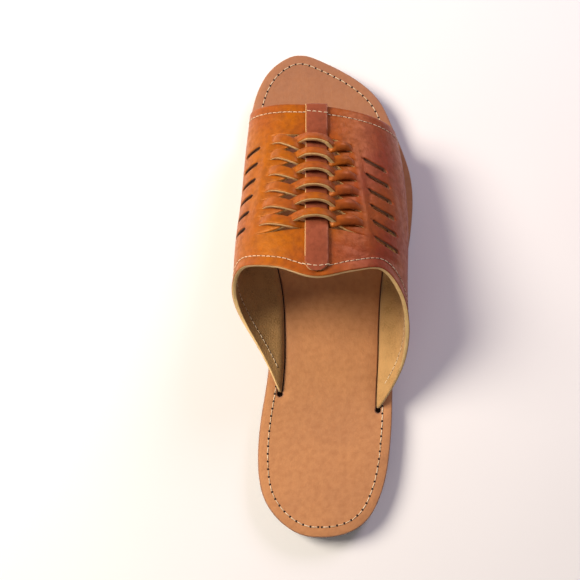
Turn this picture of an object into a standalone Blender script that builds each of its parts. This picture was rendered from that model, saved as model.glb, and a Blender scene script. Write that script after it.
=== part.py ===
"""Woven slide sandal for the right foot, as an assembly of outsole, insole, upper and centre strap.

Frame: +Y to the toe, +X to the little toe, +Z up. The origin is on the floor under the heel's middle.
Table columns named along are shares of SOLE_LENGTH from the back of the heel, columns named across
are shares of the sole's local width, and heights are shares of INSTEP_HEIGHT over the insole.
"""
import math

import bmesh
import bpy
import numpy as np

# Driving sizes in metres
SOLE_LENGTH = 0.2970
BALL_WIDTH = 0.1050
HEEL_WIDTH = 0.0780
INSTEP_HEIGHT = 0.0640
WALL = 0.0020
STRIP_WALL = 0.0016
INSOLE_THICKNESS = 0.0035
OUTSOLE_THICKNESS = 0.0065
TOE_SPRING = 0.0040
ARCH_RISE = 0.0015
HEEL_BEVEL = 0.0015
STRAP_WIDTH = 0.0125
STRAP_THICKNESS = 0.0016
STRAP_SINK = 0.0007
STRAP_ROOM = 0.0035
BAND_ROOM = 0.0047
STRIP_GAP = 0.0006
SIDE_SLIT_WIDTH = 0.0018
CLEARANCE = 0.0003
STRIP_CLEARANCE = 0.0005
SLOT_CLEARANCE = 0.0005
SLOT_LIFT = 0.0012

# Counts
PAIRS = 6
SOLE_ROWS = 36
FRONT_ROWS = 3
REAR_ROWS = 6
STRAP_CELLS = 4
STRAP_ROWS = 56

# Where the origin lies along the sole, and where its width changes from heel to ball
HEEL_CENTRE = 0.132
HEEL_END = 0.25
BALL_START = 0.62
SPRING_START = 0.76

LEATHER_TAN = (0.42, 0.155, 0.055, 1.0)
LEATHER_NATURAL = (0.50, 0.27, 0.13, 1.0)
RUBBER_DARK = (0.035, 0.028, 0.024, 1.0)

# The last's outline seen from above: along, inner side across, outer side across
SOLE_OUTLINE = (
    (0.000, -0.070, -0.020),
    (0.015, -0.260, 0.224),
    (0.035, -0.355, 0.320),
    (0.070, -0.450, 0.400),
    (0.120, -0.498, 0.461),
    (0.180, -0.502, 0.494),
    (0.260, -0.467, 0.512),
    (0.330, -0.416, 0.505),
    (0.400, -0.385, 0.490),
    (0.470, -0.384, 0.478),
    (0.550, -0.406, 0.485),
    (0.620, -0.444, 0.505),
    (0.680, -0.471, 0.518),
    (0.740, -0.482, 0.503),
    (0.800, -0.476, 0.451),
    (0.850, -0.458, 0.395),
    (0.900, -0.430, 0.326),
    (0.940, -0.388, 0.214),
    (0.970, -0.328, 0.076),
    (0.988, -0.264, -0.032),
    (1.000, -0.166, -0.146),
)

# The underside: along, share of HEEL_BEVEL, share of ARCH_RISE, share of TOE_SPRING
UNDERSIDE = (
    (0.000, 1.00, 0.0, 0.00),
    (0.040, 0.00, 0.0, 0.00),
    (0.270, 0.00, 0.0, 0.00),
    (0.430, 0.00, 1.0, 0.00),
    (0.560, 0.00, 0.0, 0.00),
    (0.740, 0.00, 0.0, 0.00),
    (0.830, 0.00, 0.0, 0.16),
    (0.920, 0.00, 0.0, 0.56),
    (1.000, 0.00, 0.0, 1.15),
)

# Sections of the vamp over the last: along, inner slot across, inner bulge across and height,
# ridge across, crown height, outer bulge across and height, outer slot across
SECTIONS = (
    (0.250, -0.372, -0.487, 0.250, -0.115, 1.234, 0.538, 0.219, 0.418),
    (0.334, -0.325, -0.558, 0.344, -0.098, 1.164, 0.559, 0.281, 0.415),
    (0.401, -0.302, -0.590, 0.406, -0.091, 1.094, 0.534, 0.297, 0.394),
    (0.486, -0.294, -0.559, 0.438, -0.077, 1.000, 0.485, 0.312, 0.372),
    (0.637, -0.371, -0.493, 0.312, -0.069, 0.812, 0.459, 0.266, 0.390),
    (0.738, -0.390, -0.476, 0.234, -0.067, 0.688, 0.441, 0.203, 0.376),
    (0.846, -0.362, -0.452, 0.172, -0.067, 0.555, 0.386, 0.141, 0.314),
)
UNDERCUT = math.radians(70.0)

# The vamp's front and rear edges: share of the way from the ridge to a slot (inner side negative), along
FRONT_EDGE = (
    (-1.00, 0.848),
    (-0.60, 0.849),
    (0.00, 0.838),
    (0.55, 0.822),
    (1.00, 0.800),
)
REAR_EDGE = (
    (-1.00, 0.280),
    (-0.80, 0.391),
    (-0.62, 0.462),
    (-0.42, 0.502),
    (-0.22, 0.494),
    (0.00, 0.472),
    (0.20, 0.487),
    (0.36, 0.497),
    (0.56, 0.455),
    (0.72, 0.391),
    (0.88, 0.310),
    (1.00, 0.250),
)

# Lines of the cutting pattern: name, share at the toe end, share at the heel end, along of the first
# cut, along of the last cut, cells to the next line
PATTERN = (
    ("inner base", -1.000, -1.000, 0.748, 0.529, 6),
    ("inner slit end", -0.660, -0.660, 0.760, 0.551, 4),
    ("inner slit start", -0.480, -0.480, 0.770, 0.563, 2),
    ("inner root", -0.365, -0.365, 0.773, 0.563, 24),
    ("outer root", 0.250, 0.287, 0.749, 0.558, 2),
    ("outer slit start", 0.330, 0.352, 0.738, 0.541, 4),
    ("outer slit end", 0.508, 0.540, 0.719, 0.519, 7),
    ("outer base", 1.000, 1.000, 0.688, 0.486, 0),
)
STRAP_LINE_FIRST = 0.764
STRAP_LINE_LAST = 0.569

# How a pair of strips weaves: share at the toe end, share at the heel end, how far the two have
# changed places, how far they pass over each other, how far they wrap round the centre strap
WEAVE = (
    (-0.365, -0.365, 0.00, 0.0, 0.00),
    (-0.325, -0.325, 0.02, 1.0, 0.00),
    (-0.245, -0.230, 0.50, 1.0, 0.00),
    (-0.165, -0.152, 0.97, 1.0, 0.00),
    (-0.085, -0.074, 1.00, 0.0, 1.00),
    (0.000, 0.000, 1.00, 0.0, 1.06),
    (0.080, 0.070, 1.00, 0.0, 1.00),
    (0.132, 0.125, 0.98, 1.0, 0.00),
    (0.182, 0.190, 0.50, 1.0, 0.00),
    (0.228, 0.252, 0.03, 1.0, 0.00),
    (0.250, 0.287, 0.00, 0.0, 0.00),
)

# The centre strap's rear end, along
STRAP_REAR = 0.4808

CROSSING_LIFT = (STRIP_WALL + STRIP_CLEARANCE) / 2
UNDER_LIFT = -(STRAP_SINK + CLEARANCE)
OVER_LIFT = STRAP_THICKNESS - STRAP_SINK + STRIP_CLEARANCE + STRIP_WALL


def spline(table, column, at):
    """Natural cubic spline through one column of a table, over its first column."""
    x = np.array([row[0] for row in table], float)
    y = np.array([row[column] for row in table], float)
    step = np.diff(x)
    slope = np.diff(y) / step
    size = len(x)
    matrix = np.eye(size)
    right = np.zeros(size)
    for i in range(1, size - 1):
        matrix[i, i - 1:i + 2] = step[i - 1], 2 * (step[i - 1] + step[i]), step[i]
        right[i] = 6 * (slope[i] - slope[i - 1])
    bend = np.linalg.solve(matrix, right)
    at = np.asarray(at, float)
    i = np.clip(np.searchsorted(x, at) - 1, 0, size - 2)
    left, rest = at - x[i], x[i + 1] - at
    inner = (bend[i] * rest ** 3 + bend[i + 1] * left ** 3) / (6 * step[i])
    outer = (y[i] / step[i] - bend[i] * step[i] / 6) * rest
    return inner + outer + (y[i + 1] / step[i] - bend[i + 1] * step[i] / 6) * left


def glide(xs, ys, at):
    """Smooth curve through points that never swings past them."""
    xs, ys = np.asarray(xs, float), np.asarray(ys, float)
    step = np.diff(xs)
    slope = np.diff(ys) / step
    tangent = np.zeros(len(xs))
    for i in range(1, len(xs) - 1):
        if slope[i - 1] * slope[i] > 0:
            near, far = 2 * step[i] + step[i - 1], step[i] + 2 * step[i - 1]
            tangent[i] = (near + far) / (near / slope[i - 1] + far / slope[i])
    tangent[0], tangent[-1] = slope[0], slope[-1]
    i = int(np.clip(np.searchsorted(xs, at) - 1, 0, len(xs) - 2))
    t = (at - xs[i]) / step[i]
    return (ys[i] * (1 + 2 * t) * (1 - t) ** 2 + ys[i + 1] * t * t * (3 - 2 * t)
            + step[i] * (tangent[i] * t * (1 - t) ** 2 - tangent[i + 1] * t * t * (1 - t)))


def ease(t):
    """Smooth step from 0 to 1."""
    t = min(max(t, 0.0), 1.0)
    return t * t * (3 - 2 * t)


def local_width(along):
    """Width that the across shares follow: the heel's at the back, the ball's at the front."""
    return HEEL_WIDTH + (BALL_WIDTH - HEEL_WIDTH) * ease((along - HEEL_END) / (BALL_START - HEEL_END))


def underside_height(along):
    """Height of the outsole's underside over the floor."""
    sizes = (HEEL_BEVEL, ARCH_RISE, TOE_SPRING)
    stations = [row[0] for row in UNDERSIDE]
    return sum(size * glide(stations, [row[i + 1] for row in UNDERSIDE], along)
               for i, size in enumerate(sizes))


def insole_top(along):
    """Height of the insole's top, which lifts only towards the toe."""
    lift = TOE_SPRING * (max(along - SPRING_START, 0.0) / (1 - SPRING_START)) ** 2
    return OUTSOLE_THICKNESS + CLEARANCE + INSOLE_THICKNESS + lift


def section(along):
    """Half sections of the vamp's outer face from ridge to slot, inner side first."""
    slot_in, bulge_in, bulge_in_up, ridge, crown, bulge_out, bulge_out_up, slot_out = (
        float(spline(SECTIONS, i, along)) for i in range(1, 9))
    width = local_width(along)
    quarter = np.linspace(0, math.pi / 2, 40)
    under = np.linspace(0, UNDERCUT, 20)[1:]
    sides = []
    for bulge, rise, slot in ((bulge_in, bulge_in_up, slot_in), (bulge_out, bulge_out_up, slot_out)):
        top, middle, edge = crown * INSTEP_HEIGHT, rise * INSTEP_HEIGHT, slot * width
        belly, start = bulge * width, ridge * width
        upper_x = start + (belly - start) * np.sin(quarter)
        upper_z = middle + (top - middle) * np.cos(quarter)
        lower_x = belly - (belly - edge) * (1 - np.cos(under)) / (1 - math.cos(UNDERCUT))
        lower_z = middle - (middle - SLOT_LIFT) * np.sin(under) / math.sin(UNDERCUT)
        x, z = np.concatenate((upper_x, lower_x)), np.concatenate((upper_z, lower_z))
        run = np.concatenate(([0.0], np.cumsum(np.hypot(np.diff(x), np.diff(z)))))
        sides.append((x, z, run))
    return sides


def skin(share, along):
    """Point of the vamp's outer face at a share of the way from the ridge to a slot."""
    x, z, run = section(along)[0 if share < 0 else 1]
    at = min(abs(share), 1.0) * run[-1]
    return np.array((np.interp(at, run, x), (along - HEEL_CENTRE) * SOLE_LENGTH,
                     np.interp(at, run, z) + insole_top(along)))


def skin_normal(share, along):
    """Outward normal of the vamp's outer face."""
    nudge = 0.01
    low, high = max(share - nudge, -1.0), min(share + nudge, 1.0)
    across = skin(high, along) - skin(low, along)
    forward = skin(share, along + nudge / 2) - skin(share, along - nudge / 2)
    normal = np.cross(across, forward)
    return normal / np.linalg.norm(normal)


def side_length(along, side):
    """Length of the vamp's section from the ridge to the inner or the outer slot."""
    return section(along)[0 if side < 0 else 1][2][-1]


def slot_across(along, side):
    """Place of the inner or the outer slot across the insole."""
    return float(spline(SECTIONS, 1 if side < 0 else 8, along)) * local_width(along)


def front_edge(share):
    """Along value of the vamp's front edge."""
    return float(spline(FRONT_EDGE, 1, share))


def rear_edge(share):
    """Along value of the vamp's rear edge."""
    return float(glide([row[0] for row in REAR_EDGE], [row[1] for row in REAR_EDGE], share))


def strap_dip(along):
    """How far the centre strap has sunk between the strips, 0 to 1."""
    strip = (STRAP_LINE_FIRST - STRAP_LINE_LAST) / (2 * PAIRS)
    room = STRAP_ROOM / SOLE_LENGTH
    falling = ease((STRAP_LINE_FIRST + room - along) / (0.75 * room))
    rising = ease((along - STRAP_LINE_LAST) / strip)
    return falling * rising


class Pattern:
    """The vamp's cutting pattern: columns from slot to slot, rows from the front to the rear edge.

    Row line 0 is the first cut of the weave and line 2 * PAIRS the last. Lines before the first lie
    in the front band and lines after the last in the rear band.
    """

    def __init__(self):
        self.strips = 2 * PAIRS
        self.lines = list(range(-FRONT_ROWS, self.strips + REAR_ROWS + 1))
        self.columns = []
        self.named = {}
        for line, after in zip(PATTERN, PATTERN[1:]):
            self.named[line[0]] = len(self.columns)
            for step in range(line[5]):
                t = step / line[5]
                self.columns.append([a + (b - a) * t for a, b in zip(line[1:5], after[1:5])])
        self.named[PATTERN[-1][0]] = len(self.columns)
        self.columns.append(list(PATTERN[-1][1:5]))
        self.set_weave_lines()

    def set_weave_lines(self):
        """Bend the first and the last cut through their places under the centre strap."""
        first, last = self.named["inner root"], self.named["outer root"]
        left, right = PATTERN[3], PATTERN[4]
        for column in self.columns[first:last + 1]:
            for value, middle in ((2, STRAP_LINE_FIRST), (3, STRAP_LINE_LAST)):
                share = column[value - 2]
                stations = (left[value - 1], 0.0, right[value - 1])
                column[value] = glide(stations, (left[value + 1], middle, right[value + 1]), share)

    def share(self, column, line):
        """Share from ridge to slot of a column where it meets a row line."""
        down = min(max(line / self.strips, 0.0), 1.0)
        toe, heel = self.columns[column][:2]
        return toe + (heel - toe) * down

    def line_along(self, column, line):
        """Along value of a row line in a column."""
        share = self.share(column, line)
        first, last = self.columns[column][2:]
        if line < 0:
            return first + (front_edge(share) - first) * -line / FRONT_ROWS
        if line > self.strips:
            return last + (rear_edge(share) - last) * (line - self.strips) / REAR_ROWS
        return first + (last - first) * line / self.strips

    def in_weave(self, column, line):
        """Whether a row line is cut open at a column by the weave."""
        inside = self.named["inner root"] < column < self.named["outer root"]
        return inside and 0 <= line <= self.strips

    def side_slit(self, column, line):
        """Half width of the side slit at a column, or zero."""
        if line not in range(1, self.strips, 2):
            return 0.0
        for start, end in (("inner slit end", "inner slit start"), ("outer slit start", "outer slit end")):
            low, high = self.named[start], self.named[end]
            if low < column < high:
                t = (column - low) / (high - low)
                return SIDE_SLIT_WIDTH / 2 * min(1.0, 1.25 * math.sin(math.pi * t))
        return 0.0

    def is_cut(self, column, line):
        """Whether the rows on the two sides of a line part at a column."""
        return self.in_weave(column, line) or self.side_slit(column, line) > 0

    def strip_edge(self, column, row, line):
        """Share, along and lift of a strip's edge in the weave."""
        pair = row // 2
        over = row % 2 == 0
        middle_line = 2 * pair + 1
        share = self.share(column, line)
        down = middle_line / self.strips
        stations = [toe + (heel - toe) * down for toe, heel, *_ in WEAVE]
        at = self.share(column, middle_line)
        swap, crossing, wrapping = (glide(stations, [w[i] for w in WEAVE], at) for i in (2, 3, 4))
        pitch = (self.line_along(column, 0) - self.line_along(column, self.strips)) / self.strips
        root = min(at - stations[0], stations[-1] - at) * side_length(self.line_along(column, line), at)
        gap = STRIP_GAP / SOLE_LENGTH * ease(root / (4 * STRIP_GAP))
        centre = self.line_along(column, middle_line) + pitch * (0.5 - swap) * (1 if over else -1)
        half = (pitch - gap) / 2
        along = centre + (half if line == row else -half)
        if over:
            lift = crossing * CROSSING_LIFT + wrapping * UNDER_LIFT
        else:
            lift = wrapping * OVER_LIFT - crossing * CROSSING_LIFT
        return share, along, lift

    def corner(self, column, row, line):
        """Outer and inner point of a cell's corner, and the key that neighbours share."""
        if self.is_cut(column, line):
            key = (column, line, row)
        else:
            key = (column, line)
        share, along, lift = self.share(column, line), self.line_along(column, line), 0.0
        wall = WALL
        if self.in_weave(column, line):
            opening = ease(min(column - self.named["inner root"], self.named["outer root"] - column) / 3)
            if 0 <= row < self.strips:
                share, along, lift = self.strip_edge(column, row, line)
                wall = WALL + (STRIP_WALL - WALL) * opening
            elif row < 0:
                wrapping = glide([w[0] for w in WEAVE], [w[4] for w in WEAVE], share)
                along += (STRIP_GAP / 2 * opening + BAND_ROOM * ease(2 * wrapping)) / SOLE_LENGTH
            else:
                along -= STRIP_GAP / 2 * opening / SOLE_LENGTH
        half_slit = self.side_slit(column, line)
        if half_slit > 0:
            along += (half_slit if line > row else -half_slit) / SOLE_LENGTH
        return key, share, along, lift, wall


def wall_points(share, along, lift, wall):
    """Outer and inner point of the wall, mitred where it turns down into the slot."""
    point, normal = skin(share, along), skin_normal(share, along)
    if abs(share) < 1:
        return point + normal * lift, point + normal * (lift - wall)
    down = np.array((math.copysign(1.0, share), 0.0, 0.0))
    mitre = normal + down
    mitre /= np.linalg.norm(mitre)
    return point, point - mitre * wall / float(mitre @ normal)


def tab_points(side, along):
    """Outer and inner point of the wall's lower end inside the insole's slot."""
    z = insole_top(along) - INSOLE_THICKNESS
    x, y = slot_across(along, side), (along - HEEL_CENTRE) * SOLE_LENGTH
    return np.array((x, y, z)), np.array((x - side * WALL, y, z))


def shell_object(name, cells, points, colour, roughness):
    """Object from cells of an outer face, each corner a key into (outer, inner) points."""
    keys = sorted(points, key=str)
    outer = {key: i for i, key in enumerate(keys)}
    inner = {key: i + len(keys) for i, key in enumerate(keys)}
    vertices = [points[key][0] for key in keys] + [points[key][1] for key in keys]
    edges = {(cell[i], cell[(i + 1) % 4]) for cell in cells for i in range(4)}
    faces = []
    for cell in cells:
        faces.append([outer[key] for key in cell])
        faces.append([inner[key] for key in reversed(cell)])
    for a, b in sorted(edges, key=str):
        if (b, a) not in edges:
            faces.append([outer[b], outer[a], inner[a], inner[b]])
    return mesh_object(name, vertices, faces, colour, roughness)


def mesh_object(name, vertices, faces, colour, roughness):
    """Closed triangle mesh as a named object with its own material."""
    mesh = bpy.data.meshes.new(name)
    mesh.from_pydata([tuple(v) for v in vertices], [], faces)
    work = bmesh.new()
    work.from_mesh(mesh)
    bmesh.ops.triangulate(work, faces=work.faces[:], quad_method="SHORT_EDGE")
    bmesh.ops.recalc_face_normals(work, faces=work.faces[:])
    work.to_mesh(mesh)
    work.free()
    item = bpy.data.objects.new(name, mesh)
    bpy.context.scene.collection.objects.link(item)
    if colour is not None:
        material = bpy.data.materials.new(name)
        material.use_nodes = True
        shader = material.node_tree.nodes["Principled BSDF"]
        shader.inputs["Base Color"].default_value = colour
        shader.inputs["Roughness"].default_value = roughness
        material.diffuse_color = colour
        mesh.materials.append(material)
        mesh.shade_smooth()
        mesh.set_sharp_from_angle(angle=math.radians(40))
    return item


def make_upper():
    """The hollow woven vamp: one wall, its strips crossing and raised, its lower edges in the slots."""
    pattern = Pattern()
    points = {}
    cells = []
    last = len(pattern.columns) - 1
    for row in pattern.lines[:-1]:
        for column in range(last):
            cell = []
            for i, line in ((column, row), (column, row + 1), (column + 1, row + 1), (column + 1, row)):
                key, share, along, lift, wall = pattern.corner(i, row, line)
                points[key] = wall_points(share, along, lift, wall)
                cell.append(key)
            cells.append(cell)
        for side, column in ((-1, 0), (1, last)):
            near = [(column, row), (column, row + 1)]
            far = [(side, "tab", row), (side, "tab", row + 1)]
            for key, line in zip(far, (row, row + 1)):
                points[key] = tab_points(side, pattern.line_along(column, line))
            if side < 0:
                cells.append([far[0], far[1], near[1], near[0]])
            else:
                cells.append([near[0], near[1], far[1], far[0]])
    return shell_object("upper", cells, points, LEATHER_TAN, 0.42)


def make_centre_strap():
    """The strap along the vamp's ridge, over one strip of each pair and under the other."""
    front = front_edge(0.0)
    radius = STRAP_WIDTH / 2 / SOLE_LENGTH
    centre = STRAP_REAR + radius
    body = np.linspace(front, centre, STRAP_ROWS)
    round_end = [centre - radius * math.sin(a) for a in np.linspace(0, math.radians(75), 6)[1:]]
    rows = list(body) + round_end
    points = {}
    cells = []
    for j, along in enumerate(rows):
        reach = max(centre - along, 0.0) / radius
        half = STRAP_WIDTH / 2 * math.sqrt(1 - reach ** 2)
        bottom = CLEARANCE - (STRAP_SINK + CLEARANCE) * strap_dip(along)
        for i in range(STRAP_CELLS + 1):
            offset = half * (2 * i / STRAP_CELLS - 1)
            share = offset / side_length(along, math.copysign(1, offset))
            point, normal = skin(share, along), skin_normal(share, along)
            points[(i, j)] = (point + normal * (bottom + STRAP_THICKNESS), point + normal * bottom)
    for j in range(len(rows) - 1):
        for i in range(STRAP_CELLS):
            cells.append([(i, j), (i, j + 1), (i + 1, j + 1), (i + 1, j)])
    return shell_object("centre_strap", cells, points, LEATHER_TAN, 0.42)


def sole_sides(along):
    """Inner and outer edge of the sole across, at an along value."""
    bent = [(math.acos(1 - 2 * row[0]),) + row[1:] for row in SOLE_OUTLINE]
    angle = math.acos(min(max(1 - 2 * along, -1.0), 1.0))
    width = local_width(along)
    return float(spline(bent, 1, angle)) * width, float(spline(bent, 2, angle)) * width


def sole_plate(name, top, bottom, colour, roughness):
    """Plate with the last's outline between two heights that change along the sole."""
    vertices = []
    for j in range(SOLE_ROWS + 1):
        along = (1 - math.cos(math.pi * j / SOLE_ROWS)) / 2
        y = (along - HEEL_CENTRE) * SOLE_LENGTH
        inner, outer = sole_sides(along)
        for z in (top(along), bottom(along)):
            vertices += [(inner, y, z), (outer, y, z)]
    faces = []
    for j in range(SOLE_ROWS):
        a, b = 4 * j, 4 * j + 4
        faces += [(a, a + 1, b + 1, b), (a + 2, b + 2, b + 3, a + 3)]
        faces += [(a, b, b + 2, a + 2), (a + 1, a + 3, b + 3, b + 1)]
    end = 4 * SOLE_ROWS
    faces += [(0, 2, 3, 1), (end, end + 1, end + 3, end + 2)]
    return mesh_object(name, vertices, faces, colour, roughness)


def slot_cutter(side):
    """Cutter for one long slot of the insole, with room round the vamp's wall and round ends."""
    share = -1.0 if side < 0 else 1.0
    rear, front = rear_edge(share), front_edge(share)
    middle = WALL / 2
    half = WALL / 2 + SLOT_CLEARANCE
    spare = SLOT_CLEARANCE / SOLE_LENGTH
    outline = []
    steps = np.linspace(rear - spare, front + spare, 24)
    outline += [(slot_across(a, side) - side * middle + half, a, 0) for a in steps]
    for end, turn in ((steps[-1], 1), (steps[0], -1)):
        centre = slot_across(end, side) - side * middle
        for angle in np.linspace(0, math.pi, 7)[1:-1]:
            outline.append((centre + turn * half * math.cos(angle),
                            end + turn * half * math.sin(angle) / SOLE_LENGTH, 0))
        if turn > 0:
            outline += [(slot_across(a, side) - side * middle - half, a, 0) for a in steps[::-1]]
    count = len(outline)
    low = OUTSOLE_THICKNESS - INSOLE_THICKNESS
    high = insole_top(front) + INSOLE_THICKNESS
    vertices = [(x, (a - HEEL_CENTRE) * SOLE_LENGTH, z) for z in (low, high) for x, a, _ in outline]
    faces = [tuple(range(count - 1, -1, -1)), tuple(range(count, 2 * count))]
    faces += [(i, (i + 1) % count, count + (i + 1) % count, count + i) for i in range(count)]
    return mesh_object("slot_cutter", vertices, faces, None, 0)


def make_insole():
    """The leather footbed with its two slots."""
    plate = sole_plate("insole", insole_top, lambda a: insole_top(a) - INSOLE_THICKNESS,
                       LEATHER_NATURAL, 0.5)
    for side in (-1, 1):
        cutter = slot_cutter(side)
        cutter.hide_render = True
        cutter.display_type = "WIRE"
        cut = plate.modifiers.new("slot", "BOOLEAN")
        cut.operation = "DIFFERENCE"
        cut.object = cutter
    return plate


def make_outsole():
    """The rubber sole: flat under heel and ball, hollow under the arch, sprung at the toe."""
    def top(along):
        return insole_top(along) - INSOLE_THICKNESS - CLEARANCE
    return sole_plate("outsole", top, underside_height, RUBBER_DARK, 0.7)


def main():
    """Remove what is there and build the sandal."""
    for item in list(bpy.data.objects):
        bpy.data.objects.remove(item, do_unlink=True)
    make_outsole()
    make_insole()
    make_upper()
    make_centre_strap()


main()
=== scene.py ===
"""Woven leather slide sandal for the right foot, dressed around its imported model.

Frame: +Y to the toe, +X to the little toe, +Z up, in metres. The origin is on the floor under the
heel's middle. Along is a share of the sole's length from the back of the heel. Share is a signed share
of the way from the vamp's ridge to one of the insole's slots, negative on the big toe's side.
"""
import logging
import math
from dataclasses import dataclass, field
from enum import Enum, IntEnum
from functools import partial
from typing import Any, Callable, ClassVar

import bpy
import numpy as np
from bpy.types import Material, Node, NodeSocket, NodeTree, Object
from mathutils import Matrix, Vector
from mathutils.geometry import delaunay_2d_cdt


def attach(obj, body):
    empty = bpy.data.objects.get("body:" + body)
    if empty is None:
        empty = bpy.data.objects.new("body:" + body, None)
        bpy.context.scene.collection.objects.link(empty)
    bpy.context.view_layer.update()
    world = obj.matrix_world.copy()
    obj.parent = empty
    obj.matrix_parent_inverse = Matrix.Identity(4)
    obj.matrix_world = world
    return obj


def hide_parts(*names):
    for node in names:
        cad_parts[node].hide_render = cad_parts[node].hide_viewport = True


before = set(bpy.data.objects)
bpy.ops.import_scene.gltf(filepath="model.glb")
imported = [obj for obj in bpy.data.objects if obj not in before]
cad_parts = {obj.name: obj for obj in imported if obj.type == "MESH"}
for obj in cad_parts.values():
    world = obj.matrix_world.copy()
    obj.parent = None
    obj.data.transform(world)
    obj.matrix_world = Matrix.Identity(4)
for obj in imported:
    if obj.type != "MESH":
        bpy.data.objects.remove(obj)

MM = 0.001
BODY = "root"
# Sockets that share their names with others: a colour Mix's and a number Random Value's
MIX_SHARE, MIX_A, MIX_B, MIX_OUT = 0, 6, 7, 2
RANDOM_LOW, RANDOM_HIGH, RANDOM_OUT = 2, 3, 1
log = logging.getLogger("sandal")


# Curves and numbers

def natural_spline(xs: np.ndarray, ys: np.ndarray, at: np.ndarray) -> np.ndarray:
    """Natural cubic spline through points.

    Args:
        xs: places of the points, rising.
        ys: values at those places.
        at: places to read.

    Returns:
        The values at the places to read.
    """
    step = np.diff(xs)
    slope = np.diff(ys) / step
    size = len(xs)
    matrix = np.eye(size)
    right = np.zeros(size)
    for i in range(1, size - 1):
        matrix[i, i - 1:i + 2] = step[i - 1], 2 * (step[i - 1] + step[i]), step[i]
        right[i] = 6 * (slope[i] - slope[i - 1])
    bend = np.linalg.solve(matrix, right)
    at = np.asarray(at, float)
    i = np.clip(np.searchsorted(xs, at) - 1, 0, size - 2)
    left, rest = at - xs[i], xs[i + 1] - at
    inner = (bend[i] * rest ** 3 + bend[i + 1] * left ** 3) / (6 * step[i])
    outer = (ys[i] / step[i] - bend[i] * step[i] / 6) * rest
    return inner + outer + (ys[i + 1] / step[i] - bend[i + 1] * step[i] / 6) * left


def glide(xs: Any, ys: Any, at: np.ndarray) -> np.ndarray:
    """Smooth curve through points that never swings past them.

    Args:
        xs: places of the points, rising.
        ys: values at those places.
        at: places to read.

    Returns:
        The values at the places to read.
    """
    xs, ys, at = np.asarray(xs, float), np.asarray(ys, float), np.asarray(at, float)
    step = np.diff(xs)
    slope = np.diff(ys) / step
    tangent = np.zeros(len(xs))
    for i in range(1, len(xs) - 1):
        if slope[i - 1] * slope[i] > 0:
            near, far = 2 * step[i] + step[i - 1], step[i] + 2 * step[i - 1]
            tangent[i] = (near + far) / (near / slope[i - 1] + far / slope[i])
    tangent[0], tangent[-1] = slope[0], slope[-1]
    i = np.clip(np.searchsorted(xs, at) - 1, 0, len(xs) - 2)
    t = (at - xs[i]) / step[i]
    return (ys[i] * (1 + 2 * t) * (1 - t) ** 2 + ys[i + 1] * t * t * (3 - 2 * t)
            + step[i] * (tangent[i] * t * (1 - t) ** 2 - tangent[i + 1] * t * t * (1 - t)))


def ease(t: Any) -> np.ndarray:
    """Smooth step from 0 to 1."""
    t = np.clip(t, 0.0, 1.0)
    return t * t * (3 - 2 * t)


def unit(vectors: np.ndarray) -> np.ndarray:
    """Vectors along the last axis at length one."""
    return vectors / np.maximum(np.linalg.norm(vectors, axis=-1, keepdims=True), 1e-12)


# The shoemaker's last

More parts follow.
